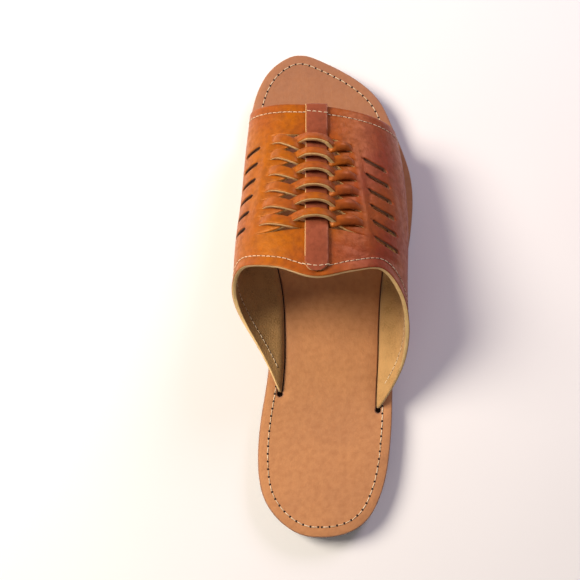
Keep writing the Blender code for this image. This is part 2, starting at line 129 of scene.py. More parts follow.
@dataclass
class Last:
    """The form that the sole's outline and the vamp's surface follow, with the part's own sizes."""

    sole_length: float = 0.2970
    ball_width: float = 0.1050
    heel_width: float = 0.0780
    instep_height: float = 0.0640
    insole_thickness: float = 0.0035
    outsole_thickness: float = 0.0065
    clearance: float = 0.0003
    toe_spring: float = 0.0040
    arch_rise: float = 0.0015
    heel_bevel: float = 0.0015
    slot_lift: float = 0.0012
    heel_centre: float = 0.132
    heel_end: float = 0.25
    ball_start: float = 0.62
    spring_start: float = 0.76
    undercut: float = math.radians(70.0)
    # Outline from above: along, inner side across, outer side across
    outline: tuple = (
        (0.000, -0.070, -0.020), (0.015, -0.260, 0.224), (0.035, -0.355, 0.320), (0.070, -0.450, 0.400),
        (0.120, -0.498, 0.461), (0.180, -0.502, 0.494), (0.260, -0.467, 0.512), (0.330, -0.416, 0.505),
        (0.400, -0.385, 0.490), (0.470, -0.384, 0.478), (0.550, -0.406, 0.485), (0.620, -0.444, 0.505),
        (0.680, -0.471, 0.518), (0.740, -0.482, 0.503), (0.800, -0.476, 0.451), (0.850, -0.458, 0.395),
        (0.900, -0.430, 0.326), (0.940, -0.388, 0.214), (0.970, -0.328, 0.076), (0.988, -0.264, -0.032),
        (1.000, -0.166, -0.146),
    )
    # Underside: along, share of heel_bevel, share of arch_rise, share of toe_spring
    underside: tuple = (
        (0.000, 1.00, 0.0, 0.00), (0.040, 0.00, 0.0, 0.00), (0.270, 0.00, 0.0, 0.00),
        (0.430, 0.00, 1.0, 0.00), (0.560, 0.00, 0.0, 0.00), (0.740, 0.00, 0.0, 0.00),
        (0.830, 0.00, 0.0, 0.16), (0.920, 0.00, 0.0, 0.56), (1.000, 0.00, 0.0, 1.15),
    )
    # Vamp sections: along, inner slot across, inner bulge across and height, ridge across, crown height,
    # outer bulge across and height, outer slot across
    sections: tuple = (
        (0.250, -0.372, -0.487, 0.250, -0.115, 1.234, 0.538, 0.219, 0.418),
        (0.334, -0.325, -0.558, 0.344, -0.098, 1.164, 0.559, 0.281, 0.415),
        (0.401, -0.302, -0.590, 0.406, -0.091, 1.094, 0.534, 0.297, 0.394),
        (0.486, -0.294, -0.559, 0.438, -0.077, 1.000, 0.485, 0.312, 0.372),
        (0.637, -0.371, -0.493, 0.312, -0.069, 0.812, 0.459, 0.266, 0.390),
        (0.738, -0.390, -0.476, 0.234, -0.067, 0.688, 0.441, 0.203, 0.376),
        (0.846, -0.362, -0.452, 0.172, -0.067, 0.555, 0.386, 0.141, 0.314),
    )
    front_cut: tuple = ((-1.00, 0.848), (-0.60, 0.849), (0.00, 0.838), (0.55, 0.822), (1.00, 0.800))
    rear_cut: tuple = (
        (-1.00, 0.280), (-0.80, 0.391), (-0.62, 0.462), (-0.42, 0.502), (-0.22, 0.494), (0.00, 0.472),
        (0.20, 0.487), (0.36, 0.497), (0.56, 0.455), (0.72, 0.391), (0.88, 0.310), (1.00, 0.250),
    )
    # How closely the vamp's surface and the outline are tabulated
    tabled: tuple = (0.23, 0.87)
    station_count: int = 321
    share_count: int = 161
    quarter_count: int = 80
    under_count: int = 40
    outline_count: int = 900
    nudge: float = 0.01
    stations: np.ndarray = field(init=False, repr=False)
    shares: np.ndarray = field(init=False, repr=False)
    faces: np.ndarray = field(init=False, repr=False)
    lengths: np.ndarray = field(init=False, repr=False)

    def __post_init__(self) -> None:
        """Tabulate the vamp's surface closely, so that reading it is quick."""
        self.stations = np.linspace(*self.tabled, self.station_count)
        self.shares = np.linspace(0.0, 1.0, self.share_count)
        places, *columns = np.array(self.sections).T
        read = [natural_spline(places, column, self.stations) for column in columns]
        slot_in, bulge_in, rise_in, ridge, crown, bulge_out, rise_out, slot_out = read
        width = self.local_width(self.stations)
        quarter = np.linspace(0, math.pi / 2, self.quarter_count)
        under = np.linspace(0, self.undercut, self.under_count)[1:]
        self.faces = np.zeros((2, len(self.stations), len(self.shares), 2))
        self.lengths = np.zeros((2, len(self.stations)))
        for side, (bulge, rise, slot) in enumerate(
                ((bulge_in, rise_in, slot_in), (bulge_out, rise_out, slot_out))):
            for j in range(len(self.stations)):
                top, middle = crown[j] * self.instep_height, rise[j] * self.instep_height
                belly, start, edge = bulge[j] * width[j], ridge[j] * width[j], slot[j] * width[j]
                x = np.concatenate((
                    start + (belly - start) * np.sin(quarter),
                    belly - (belly - edge) * (1 - np.cos(under)) / (1 - math.cos(self.undercut))))
                z = np.concatenate((
                    middle + (top - middle) * np.cos(quarter),
                    middle - (middle - self.slot_lift) * np.sin(under) / math.sin(self.undercut)))
                run = np.concatenate(([0.0], np.cumsum(np.hypot(np.diff(x), np.diff(z)))))
                self.lengths[side, j] = run[-1]
                self.faces[side, j, :, 0] = np.interp(self.shares * run[-1], run, x)
                self.faces[side, j, :, 1] = np.interp(self.shares * run[-1], run, z)

    def local_width(self, along: np.ndarray) -> np.ndarray:
        """Width that the across shares follow: the heel's at the back, the ball's at the front."""
        t = ease((along - self.heel_end) / (self.ball_start - self.heel_end))
        return self.heel_width + (self.ball_width - self.heel_width) * t

    def insole_top(self, along: np.ndarray) -> np.ndarray:
        """Height of the insole's top, which lifts only towards the toe."""
        lift = (np.maximum(along - self.spring_start, 0.0) / (1 - self.spring_start)) ** 2
        return self.outsole_thickness + self.clearance + self.insole_thickness + self.toe_spring * lift

    def insole_bottom(self, along: np.ndarray) -> np.ndarray:
        """Height of the insole's underside."""
        return self.insole_top(along) - self.insole_thickness

    def underside_height(self, along: np.ndarray) -> np.ndarray:
        """Height of the outsole's underside over the floor.

        Args:
            along: along values.

        Returns:
            Heights in metres.
        """
        stations, *columns = np.array(self.underside).T
        sizes = (self.heel_bevel, self.arch_rise, self.toe_spring)
        return sum(size * glide(stations, column, along) for size, column in zip(sizes, columns))

    def y_of(self, along: np.ndarray) -> np.ndarray:
        """Place on the Y axis of an along value."""
        return (along - self.heel_centre) * self.sole_length

    def along_of(self, y: np.ndarray) -> np.ndarray:
        """Along value of a place on the Y axis."""
        return y / self.sole_length + self.heel_centre

    def skin(self, share: np.ndarray, along: np.ndarray) -> np.ndarray:
        """Points of the vamp's outer face.

        Args:
            share: signed shares of the way from the ridge to a slot.
            along: along values of the same shape.

        Returns:
            Points, with one axis more than the input.
        """
        share, along = np.broadcast_arrays(np.asarray(share, float), np.asarray(along, float))
        side = (share >= 0).astype(int)
        row = (along - self.stations[0]) / (self.stations[1] - self.stations[0])
        column = np.clip(np.abs(share), 0, 1) * (len(self.shares) - 1)
        i = np.clip(row.astype(int), 0, len(self.stations) - 2)
        j = np.clip(column.astype(int), 0, len(self.shares) - 2)
        u, v = (row - i)[..., None], (column - j)[..., None]
        xz = ((self.faces[side, i, j] * (1 - v) + self.faces[side, i, j + 1] * v) * (1 - u)
              + (self.faces[side, i + 1, j] * (1 - v) + self.faces[side, i + 1, j + 1] * v) * u)
        return np.stack((xz[..., 0], self.y_of(along), xz[..., 1] + self.insole_top(along)), axis=-1)

    def raised(self, share: np.ndarray, along: np.ndarray, lift: np.ndarray) -> np.ndarray:
        """Points at a height over the vamp's outer face, for the same input as skin."""
        return self.skin(share, along) + self.normal(share, along) * lift[..., None]

    def normal(self, share: np.ndarray, along: np.ndarray) -> np.ndarray:
        """Outward normals of the vamp's outer face, for the same input as skin.

        Args:
            share: signed shares of the way from the ridge to a slot.
            along: along values of the same shape.

        Returns:
            Unit vectors, with one axis more than the input.
        """
        half = self.nudge / 2
        across = (self.skin(np.minimum(share + self.nudge, 1.0), along)
                  - self.skin(np.maximum(share - self.nudge, -1.0), along))
        forward = self.skin(share, along + half) - self.skin(share, along - half)
        return unit(np.cross(across, forward))

    def side_length(self, share: np.ndarray, along: np.ndarray) -> np.ndarray:
        """Length of the vamp's section from the ridge to the slot on a share's side.

        Args:
            share: signed shares, of which the sign alone counts.
            along: along values.

        Returns:
            Lengths in metres.
        """
        inner = np.interp(along, self.stations, self.lengths[0])
        outer = np.interp(along, self.stations, self.lengths[1])
        return np.where(np.asarray(share) < 0, inner, outer)

    def slot_across(self, along: np.ndarray, side: int) -> np.ndarray:
        """Place across of the inner or the outer slot's outer face."""
        columns = np.array(self.sections).T
        return natural_spline(columns[0], columns[1 if side < 0 else -1], along) * self.local_width(along)

    def front_edge(self, share: np.ndarray) -> np.ndarray:
        """Along value of the vamp's front edge."""
        return natural_spline(*np.array(self.front_cut).T, share)

    def rear_edge(self, share: np.ndarray) -> np.ndarray:
        """Along value of the vamp's rear edge."""
        return glide(*np.array(self.rear_cut).T, share)

    def sole_loop(self, count: int = 260) -> np.ndarray:
        """Closed outline of the sole from above, against the clock, evenly spaced.

        Args:
            count: number of points.

        Returns:
            Points in the plane, count by 2.
        """
        places, *sides = np.array(self.outline).T
        bent = np.arccos(1 - 2 * places)
        angle = np.linspace(0, math.pi, self.outline_count)
        along = (1 - np.cos(angle)) / 2
        width = self.local_width(along)
        inner, outer = [
            np.stack((natural_spline(bent, side, angle) * width, self.y_of(along)), axis=1)
            for side in sides]
        return spaced(np.concatenate((outer, inner[::-1])), count)


def spaced(loop: np.ndarray, count: int) -> np.ndarray:
    """Points evenly spaced along a closed loop.

    Args:
        loop: the loop's points, without the first one repeated.
        count: number of points wanted.

    Returns:
        That many points on the loop.
    """
    closed = np.concatenate((loop, loop[:1]))
    run = np.concatenate(([0.0], np.cumsum(np.linalg.norm(np.diff(closed, axis=0), axis=1))))
    at = np.arange(count) / count * run[-1]
    return np.stack([np.interp(at, run, closed[:, k]) for k in range(loop.shape[1])], axis=1)


def inset(loop: np.ndarray, depth: float) -> np.ndarray:
    """Closed loop moved to its left side, which is inwards for one that runs against the clock."""
    tangent = unit(np.roll(loop, -1, axis=0) - np.roll(loop, 1, axis=0))
    return loop + np.stack((-tangent[:, 1], tangent[:, 0]), axis=1) * depth


# Materials

def srgb(code: str) -> tuple[float, float, float, float]:
    """Linear colour of an sRGB hex code."""
    parts = [int(code[i:i + 2], 16) / 255 for i in (1, 3, 5)]
    return (*[c / 12.92 if c <= 0.04045 else ((c + 0.055) / 1.055) ** 2.4 for c in parts], 1.0)


def set_inputs(node: Node, inputs: dict) -> None:
    """Give a node's inputs their values and links.

    Args:
        node: the node.
        inputs: socket name or number to a value, or to an output socket to link from.
    """
    for key, value in inputs.items():
        if isinstance(value, NodeSocket):
            node.id_data.links.new(value, node.inputs[key])
        else:
            node.inputs[key].default_value = value


def add_node(tree: NodeTree, kind: str, inputs: dict | None = None, **settings: Any) -> Node:
    """Add one node with its settings, values and links.

    Args:
        tree: the tree that gets the node.
        kind: the node's type name.
        inputs: its values and links, as in set_inputs.
        **settings: the node's own properties.

    Returns:
        The new node.
    """
    node = tree.nodes.new(kind)
    for name, value in settings.items():
        setattr(node, name, value)
    set_inputs(node, inputs or {})
    return node


def new_material(name: str) -> tuple[Material, NodeTree, Node, NodeSocket]:
    """Start a material.

    Args:
        name: the material's name.

    Returns:
        The material, its tree, its shader and the object coordinates.
    """
    material = bpy.data.materials.new(name)
    material.use_nodes = True
    tree = material.node_tree
    shader = tree.nodes["Principled BSDF"]
    place = add_node(tree, "ShaderNodeTexCoord")
    return material, tree, shader, place.outputs["Object"]


class Finish:
    """What the finishes share: patches of a real size, and a material that each one builds."""

    def build(self) -> Material:
        """Make the material."""
        raise NotImplementedError

    @staticmethod
    def patches(tree: NodeTree, place: NodeSocket, size_mm: float,
                span: tuple[float, float], detail: float = 3.0) -> NodeSocket:
        """Irregular patches as a factor from 0 to 1.

        Args:
            tree: the material's tree.
            place: coordinates in metres.
            size_mm: size of the patches.
            span: raw values that become 0 and 1.
            detail: octaves.

        Returns:
            The socket with the factor.
        """
        raw = add_node(tree, "ShaderNodeTexNoise", {
            "Vector": place, "Scale": 1 / (size_mm * MM), "Detail": detail})
        spread = add_node(tree, "ShaderNodeMapRange", {
            "Value": raw.outputs["Fac"], "From Min": span[0], "From Max": span[1]})
        return spread.outputs["Result"]


@dataclass(frozen=True)
class GrainLeather(Finish):
    """Vegetable-tanned cowhide, coloured with dye in a drum, waxed and rubbed by hand.

    It gives the eye a warm, uneven colour that deepens along one axis, cloudy darker patches, fine pores,
    creases and combed scuffs, and a satin gloss that breaks up over the grain. Across the foot the colour
    runs from orange to red brown, partly dye and partly painted shade on the outer side, away from the key
    light.
    """

    name: str
    light: str
    deep: str
    shade: str
    scuffed: str = "#D9A066"
    gloss_tint: str = "#FFC080"
    gloss_level: float = 0.30
    roughness: tuple[float, float] = (0.33, 0.50)
    cloud_mm: float = 26.0
    cloud_span: tuple[float, float] = (0.38, 0.66)
    mottle_mm: float = 3.2
    mottle_span: tuple[float, float] = (0.40, 0.75)
    # Pores are drawn coarser than the real ones of about 0.2 mm, so that they show
    pore_mm: float = 0.9
    crease_mm: float = 5.0
    crease_span: tuple[float, float] = (0.20, 0.80)
    scuff_mm: float = 0.9
    scuff_span: tuple[float, float] = (0.66, 0.84)
    scuff_turn: float = 0.55
    scuff_stretch: tuple[float, float, float] = (1.0, 0.07, 0.5)
    # The axis and span over which the colour runs from light to deep, and how far: across the vamp partly
    # dye and partly painted shade on the outer side, across the strap and along the insole painted shade
    dye_and_shade_axis: str = "X"
    dye_and_shade_span: tuple[float, float] = (-0.034, 0.048)
    dye_and_shade_share: float = 0.72
    cloud_share: float = 0.40
    mottle_share: float = 0.48
    scuff_share: float = 0.16
    crease_depth_mm: float = 0.20
    pore_depth_mm: float = 0.07

    def build(self) -> Material:
        """Make the material.

        Returns:
            The material, ready to use.
        """
        material, tree, shader, place = new_material(self.name)
        put = partial(add_node, tree)
        cloud = self.patches(tree, place, self.cloud_mm, self.cloud_span)
        mottle = self.patches(tree, place, self.mottle_mm, self.mottle_span, detail=4.0)
        # Colour that deepens along one axis: partly dye and partly painted shade on the vamp's outer side,
        # painted shade on the strap's outer side and towards the insole's toe
        parts = put("ShaderNodeSeparateXYZ", {"Vector": place})
        side = put("ShaderNodeMapRange", {
            "Value": parts.outputs[self.dye_and_shade_axis], "From Min": self.dye_and_shade_span[0],
            "From Max": self.dye_and_shade_span[1]}, interpolation_type="SMOOTHSTEP")
        cloudy = put("ShaderNodeMath", {0: cloud, 1: self.cloud_share}, operation="MULTIPLY")
        depth = put("ShaderNodeMath", {
            0: side.outputs["Result"], 1: self.dye_and_shade_share, 2: cloudy.outputs[0]},
            operation="MULTIPLY_ADD", use_clamp=True)
        painted_shade = put("ShaderNodeMix", {
            MIX_SHARE: depth.outputs[0], MIX_A: srgb(self.light), MIX_B: srgb(self.deep)},
            data_type="RGBA")
        weak = put("ShaderNodeMath", {0: mottle, 1: self.mottle_share}, operation="MULTIPLY")
        stained = put("ShaderNodeMix", {
            MIX_SHARE: weak.outputs[0], MIX_A: painted_shade.outputs[MIX_OUT], MIX_B: srgb(self.shade)},
            data_type="RGBA")
        combed = put("ShaderNodeMapping", {
            "Vector": place, "Rotation": (0.0, 0.0, self.scuff_turn), "Scale": self.scuff_stretch})
        scuffs = self.patches(tree, combed.outputs[0], self.scuff_mm, self.scuff_span, detail=2.0)
        faint = put("ShaderNodeMath", {0: scuffs, 1: self.scuff_share}, operation="MULTIPLY")
        colour = put("ShaderNodeMix", {
            MIX_SHARE: faint.outputs[0], MIX_A: stained.outputs[MIX_OUT], MIX_B: srgb(self.scuffed)},
            data_type="RGBA")
        gloss = put("ShaderNodeMapRange", {
            "Value": mottle, "To Min": self.roughness[0], "To Max": self.roughness[1]})
        creases = self.patches(tree, place, self.crease_mm, self.crease_span, detail=6.0)
        rough = put("ShaderNodeBump", {
            "Height": creases, "Distance": self.crease_depth_mm * MM, "Strength": 1.0})
        pores = put("ShaderNodeTexVoronoi", {
            "Vector": place, "Scale": 1 / (self.pore_mm * MM), "Randomness": 1.0}, feature="SMOOTH_F1")
        fine = put("ShaderNodeBump", {
            "Height": pores.outputs["Distance"], "Distance": self.pore_depth_mm * MM, "Strength": 1.0,
            "Normal": rough.outputs["Normal"]})
        set_inputs(shader, {
            "Base Color": colour.outputs[MIX_OUT], "Roughness": gloss.outputs["Result"],
            "Normal": fine.outputs["Normal"], "Specular IOR Level": self.gloss_level,
            "Specular Tint": srgb(self.gloss_tint)})
        return material


@dataclass(frozen=True)
class TwoTone(Finish):
    """A dull finish of two colours in patches of one size, with a fine relief of another.

    It gives the eye a dry surface: a knife-cut edge, the flesh side, thread, rubber or a painted floor.
    """

    name: str
    light: str
    dark: str
    patch_mm: float
    grain_mm: float
    grain_depth_mm: float
    roughness: float
    sheen: float = 0.0
    flecked: bool = False
    patch_span: ClassVar[tuple[float, float]] = (0.38, 0.72)
    grain_span: ClassVar[tuple[float, float]] = (0.35, 0.72)

    def build(self) -> Material:
        """Make the material.

        Returns:
            The material, ready to use.
        """
        material, tree, shader, place = new_material(self.name)
        grain = self.patches(tree, place, self.grain_mm, self.grain_span, detail=4.0)
        share = self.patches(tree, place, self.patch_mm, self.patch_span)
        if self.flecked:
            share = add_node(tree, "ShaderNodeMath", {0: grain, 1: share}, operation="MULTIPLY").outputs[0]
        colour = add_node(tree, "ShaderNodeMix", {
            MIX_SHARE: share, MIX_A: srgb(self.light), MIX_B: srgb(self.dark)}, data_type="RGBA")
        bump = add_node(tree, "ShaderNodeBump", {
            "Height": grain, "Distance": self.grain_depth_mm * MM, "Strength": 1.0})
        set_inputs(shader, {
            "Base Color": colour.outputs[MIX_OUT], "Normal": bump.outputs["Normal"],
            "Roughness": self.roughness, "Sheen Weight": self.sheen})
        return material


@dataclass(frozen=True)
class RawLeather(TwoTone):
    """Leather without its grain side, cut with a knife or buffed: a pale, dry, fibrous tan with flecks."""

    patch_mm: float = 9.0
    grain_mm: float = 0.6
    grain_depth_mm: float = 0.12
    roughness: float = 0.88
    sheen: float = 0.15
    flecked: bool = True


def made(finish: Finish) -> Any:
    """Dataclass field that holds a finish's material, made when the dataclass is."""
    return field(default_factory=finish.build)


@dataclass
class Wardrobe:
    """Every finish of the sandal, each made once."""

    # Waxed cowhide, coloured by hand: orange tan that runs to red brown on the outer side, partly dye and
    # partly painted shade away from the key light, satin
    vamp: Material = made(GrainLeather(
        "vamp_leather_waxed", "#A4590B", "#8E3C28", "#5A280F"))
    # The same hide with a darker dye: an even red brown, darker towards the outer side as painted shade,
    # satin
    strap: Material = made(GrainLeather(
        "strap_leather_waxed", "#99523A", "#7F402B", "#632D1D"))
    # Footbed leather left natural: pale brown, with painted shade that darkens it towards the toe, duller
    # than the vamp
    insole: Material = made(GrainLeather(
        "insole_leather_natural", "#C68C5E", "#A47255", "#985E3B", roughness=(0.45, 0.6),
        dye_and_shade_axis="Y", dye_and_shade_span=(0.10, 0.225), dye_and_shade_share=0.85, cloud_share=0.22, mottle_share=0.30))
    # A knife's cut through undyed leather: bright yellow tan, dry
    cut_edge: Material = made(RawLeather(
        "leather_cut_edge", "#E0BC7E", "#AC8246"))
    # The side that faces the foot, buffed: mid tan with a coarser nap
    flesh: Material = made(RawLeather(
        "leather_flesh_side_buffed", "#B88E56", "#8E6834", grain_mm=0.9, roughness=0.92))
    # Edges of the side slits: dark brown, dry, painted shade for the shaded inside of the slits
    slit_edge: Material = made(RawLeather(
        "slit_edge_painted_shade", "#6E3F1E", "#43220F", roughness=0.8))
    # The footbed's edge, trimmed and stained: brown, a little polished
    sole_edge: Material = made(RawLeather(
        "insole_edge_trimmed", "#A57250", "#7C4E30", roughness=0.7))
    # Bonded nylon thread, twisted from strands: an off-white line, soiled here and there
    thread: Material = made(TwoTone(
        "sewing_thread_bonded", "#E6D3B2", "#C3A47C",
        patch_mm=6.0, grain_mm=0.35, grain_depth_mm=0.08, roughness=0.55))
    # Painted shade of a hole that an awl leaves in leather: a brown, almost black disc
    hole: Material = made(TwoTone(
        "needle_hole_painted_shade", "#2A140C", "#160A06",
        patch_mm=0.5, grain_mm=0.5, grain_depth_mm=0.02, roughness=0.9))
    # Vulcanised rubber, moulded and trimmed: near black, dull, dusty, with a fine buffed tooth
    rubber: Material = made(TwoTone(
        "sole_rubber_moulded", "#33261F", "#4A3A30",
        patch_mm=14.0, grain_mm=0.7, grain_depth_mm=0.08, roughness=0.72))
    # A painted studio floor: almost white, flat and dull
    floor: Material = made(TwoTone(
        "floor_painted_matt", "#F4F3F1", "#EFEEEC",
        patch_mm=400.0, grain_mm=400.0, grain_depth_mm=0.0, roughness=0.85))


# Meshes

def link_mesh(name: str, vertices: np.ndarray, faces: list, materials: list[Material],
              slots: list[int]) -> Object:
    """Object of a finished mesh, smooth shaded, at the origin.

    Args:
        name: the object's and the mesh's name.
        vertices: points in metres.
        faces: tuples of vertex numbers.
        materials: the mesh's materials.
        slots: material number of each face.

    Returns:
        The linked object.
    """
    mesh = bpy.data.meshes.new(name)
    mesh.from_pydata([tuple(map(float, v)) for v in vertices], [], [tuple(map(int, f)) for f in faces])
    for material in materials:
        mesh.materials.append(material)
    mesh.polygons.foreach_set("material_index", np.array(slots, dtype=np.int32))
    mesh.shade_smooth()
    mesh.validate()
    item = bpy.data.objects.new(name, mesh)
    bpy.context.scene.collection.objects.link(item)
    return item


def settle(item: Object, *replaced: str, slot: str) -> Object:
    """Turn a piece into a plain mesh and tell the frame what it is.

    Args:
        item: the piece, with or without modifiers.
        *replaced: CAD nodes that it stands for.
        slot: the record's material slot; not used.

    Returns:
        The piece.
    """
    if item.modifiers:
        ready = item.evaluated_get(bpy.context.evaluated_depsgraph_get())
        plain = bpy.data.meshes.new_from_object(ready)
        item.modifiers.clear()
        item.data = plain
    item.data.name = item.name
    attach(item, BODY)
    if replaced:
        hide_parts(*replaced)
    count = sum(len(face.vertices) - 2 for face in item.data.polygons)
    log.info("%s: %d triangles", item.name, count)
    return item


class Leather(IntEnum):
    """Numbers of a sheet's materials."""

    GRAIN = 0
    FLESH = 1
    CUT = 2
    # A dark cut edge: painted shade inside the side slits
    PAINTED_SHADE = 3


@dataclass
class Sheet:
    """A single layer of leather before it gets its thickness: points, quads and thickness at each point."""

    points: np.ndarray
    quads: np.ndarray
    wall: np.ndarray
    # Points whose cut edges take the dark material that paints the shade inside the slits
    painted_shade: np.ndarray | None = None
    skived: np.ndarray | None = None
    # How many points beside each one in sorted order are tested when points are merged
    neighbours: ClassVar[int] = 3
    # Wear of the flesh side as a share of the grain side's, and where and how far a cut edge bulges
    flesh_wear: ClassVar[float] = 0.5
    bulge_depth: ClassVar[float] = 0.45
    bulge_out: ClassVar[float] = 0.35

    def bare(self, count: int) -> np.ndarray:
        """Which quads have lost their grain side to a skiving knife."""
        return np.zeros(count, bool) if self.skived is None else self.skived

    def merged(self, reach: float = 2e-6) -> "Sheet":
        """The sheet with points that lie on one another made one.

        Args:
            reach: how far apart such points may lie, in metres.

        Returns:
            The new sheet.
        """
        keys = np.round(self.points / reach).astype(np.int64)
        order = np.lexsort(keys.T)
        target = np.arange(len(self.points))
        ordered = keys[order]
        for step in range(1, self.neighbours + 1):
            close = np.all(np.abs(ordered[step:] - ordered[:-step]) <= 1, axis=1)
            for a, b in zip(order[:-step][close], order[step:][close]):
                low, high = sorted((target[a], target[b]))
                target[target == high] = low
        kept, numbers = np.unique(target, return_inverse=True)
        quads = numbers[self.quads]
        return Sheet(self.points[kept], quads, self.wall[kept], self.painted_shade[kept])

    def normals(self) -> np.ndarray:
        """Area-weighted normals at the points.

        Returns:
            A unit vector for each point.
        """
        corners = self.points[self.quads]
        face = np.cross(corners[:, 2] - corners[:, 0], corners[:, 3] - corners[:, 1])
        total = np.zeros_like(self.points)
        for k in range(4):
            np.add.at(total, self.quads[:, k], face)
        return unit(total)

    def shell(self, name: str, materials: list[Material], roll: float) -> Object:
        """Closed wall with worn, rounded cut edges.

        Args:
            name: the object's name.
            materials: grain side, flesh side, cut edge and, where points are marked, a dark cut edge that
                paints the shade inside the slits.
            roll: how far the cut edge's corners are worn down.

        Returns:
            The linked object.
        """
        normal = self.normals()
        starts = self.quads.reshape(-1)
        ends = np.roll(self.quads, -1, axis=1).reshape(-1)
        pairs = set(zip(starts.tolist(), ends.tolist()))
        rim = [(a, b) for a, b in zip(starts.tolist(), ends.tolist()) if (b, a) not in pairs]
        outward = np.zeros_like(self.points)
        for a, b in rim:
            way = np.cross(self.points[b] - self.points[a], normal[a] + normal[b])
            outward[a] += way
            outward[b] += way
        outward = unit(outward)
        on_rim = np.zeros(len(self.points), bool)
        on_rim[list({v for edge in rim for v in edge})] = True
        drop = np.where(on_rim, roll, 0.0)[:, None]
        outer = self.points - normal * drop
        inner = self.points - normal * (self.wall[:, None] - drop * self.flesh_wear)
        middle = (self.points - normal * self.wall[:, None] * self.bulge_depth
                  + outward * roll * self.bulge_out)
        count = len(self.points)
        middle_number = {int(v): 2 * count + i for i, v in enumerate(np.flatnonzero(on_rim))}
        vertices = np.concatenate((outer, inner, middle[on_rim]))
        faces = [tuple(quad) for quad in self.quads.tolist()]
        faces += [tuple(v + count for v in reversed(quad)) for quad in self.quads.tolist()]
        slots = [Leather.CUT if bare else Leather.GRAIN for bare in self.bare(len(self.quads))]
        slots += [Leather.FLESH] * len(self.quads)
        for a, b in rim:
            faces.append((b, a, middle_number[a], middle_number[b]))
            faces.append((middle_number[b], middle_number[a], a + count, b + count))
            # Marked edges get the dark material: painted shade inside the side slits
            painted_shade = self.painted_shade is not None and self.painted_shade[a] and self.painted_shade[b]
            slots += [Leather.PAINTED_SHADE if painted_shade else Leather.CUT] * 2
        return link_mesh(name, vertices, faces, materials, slots)


def grid_quads(rows: int, columns: int, start: int = 0) -> np.ndarray:
    """Quads of a grid whose points are numbered row by row, facing up where rows run to the heel.

    Args:
        rows: number of rows of points.
        columns: number of points in a row.
        start: number of the first point.

    Returns:
        Point numbers, four for each quad.
    """
    j, i = np.meshgrid(np.arange(rows - 1), np.arange(columns - 1), indexing="ij")
    first = (start + j * columns + i).reshape(-1)
    return np.stack((first, first + columns, first + columns + 1, first + 1), axis=1)


def edge_spacing(count: int, near: float) -> np.ndarray:
    """Rising shares from 0 to 1 with one extra line close to each end, at the share near."""
    inner = np.linspace(0, 1, count + 1)
    return np.unique(np.concatenate(([0, near], inner[1:-1], [1 - near, 1])))


# The vamp

class Region(Enum):
    """The three kinds of row in the vamp's cutting pattern."""

    FRONT = "front band"
    STRIP = "woven strip"
    REAR = "rear band"


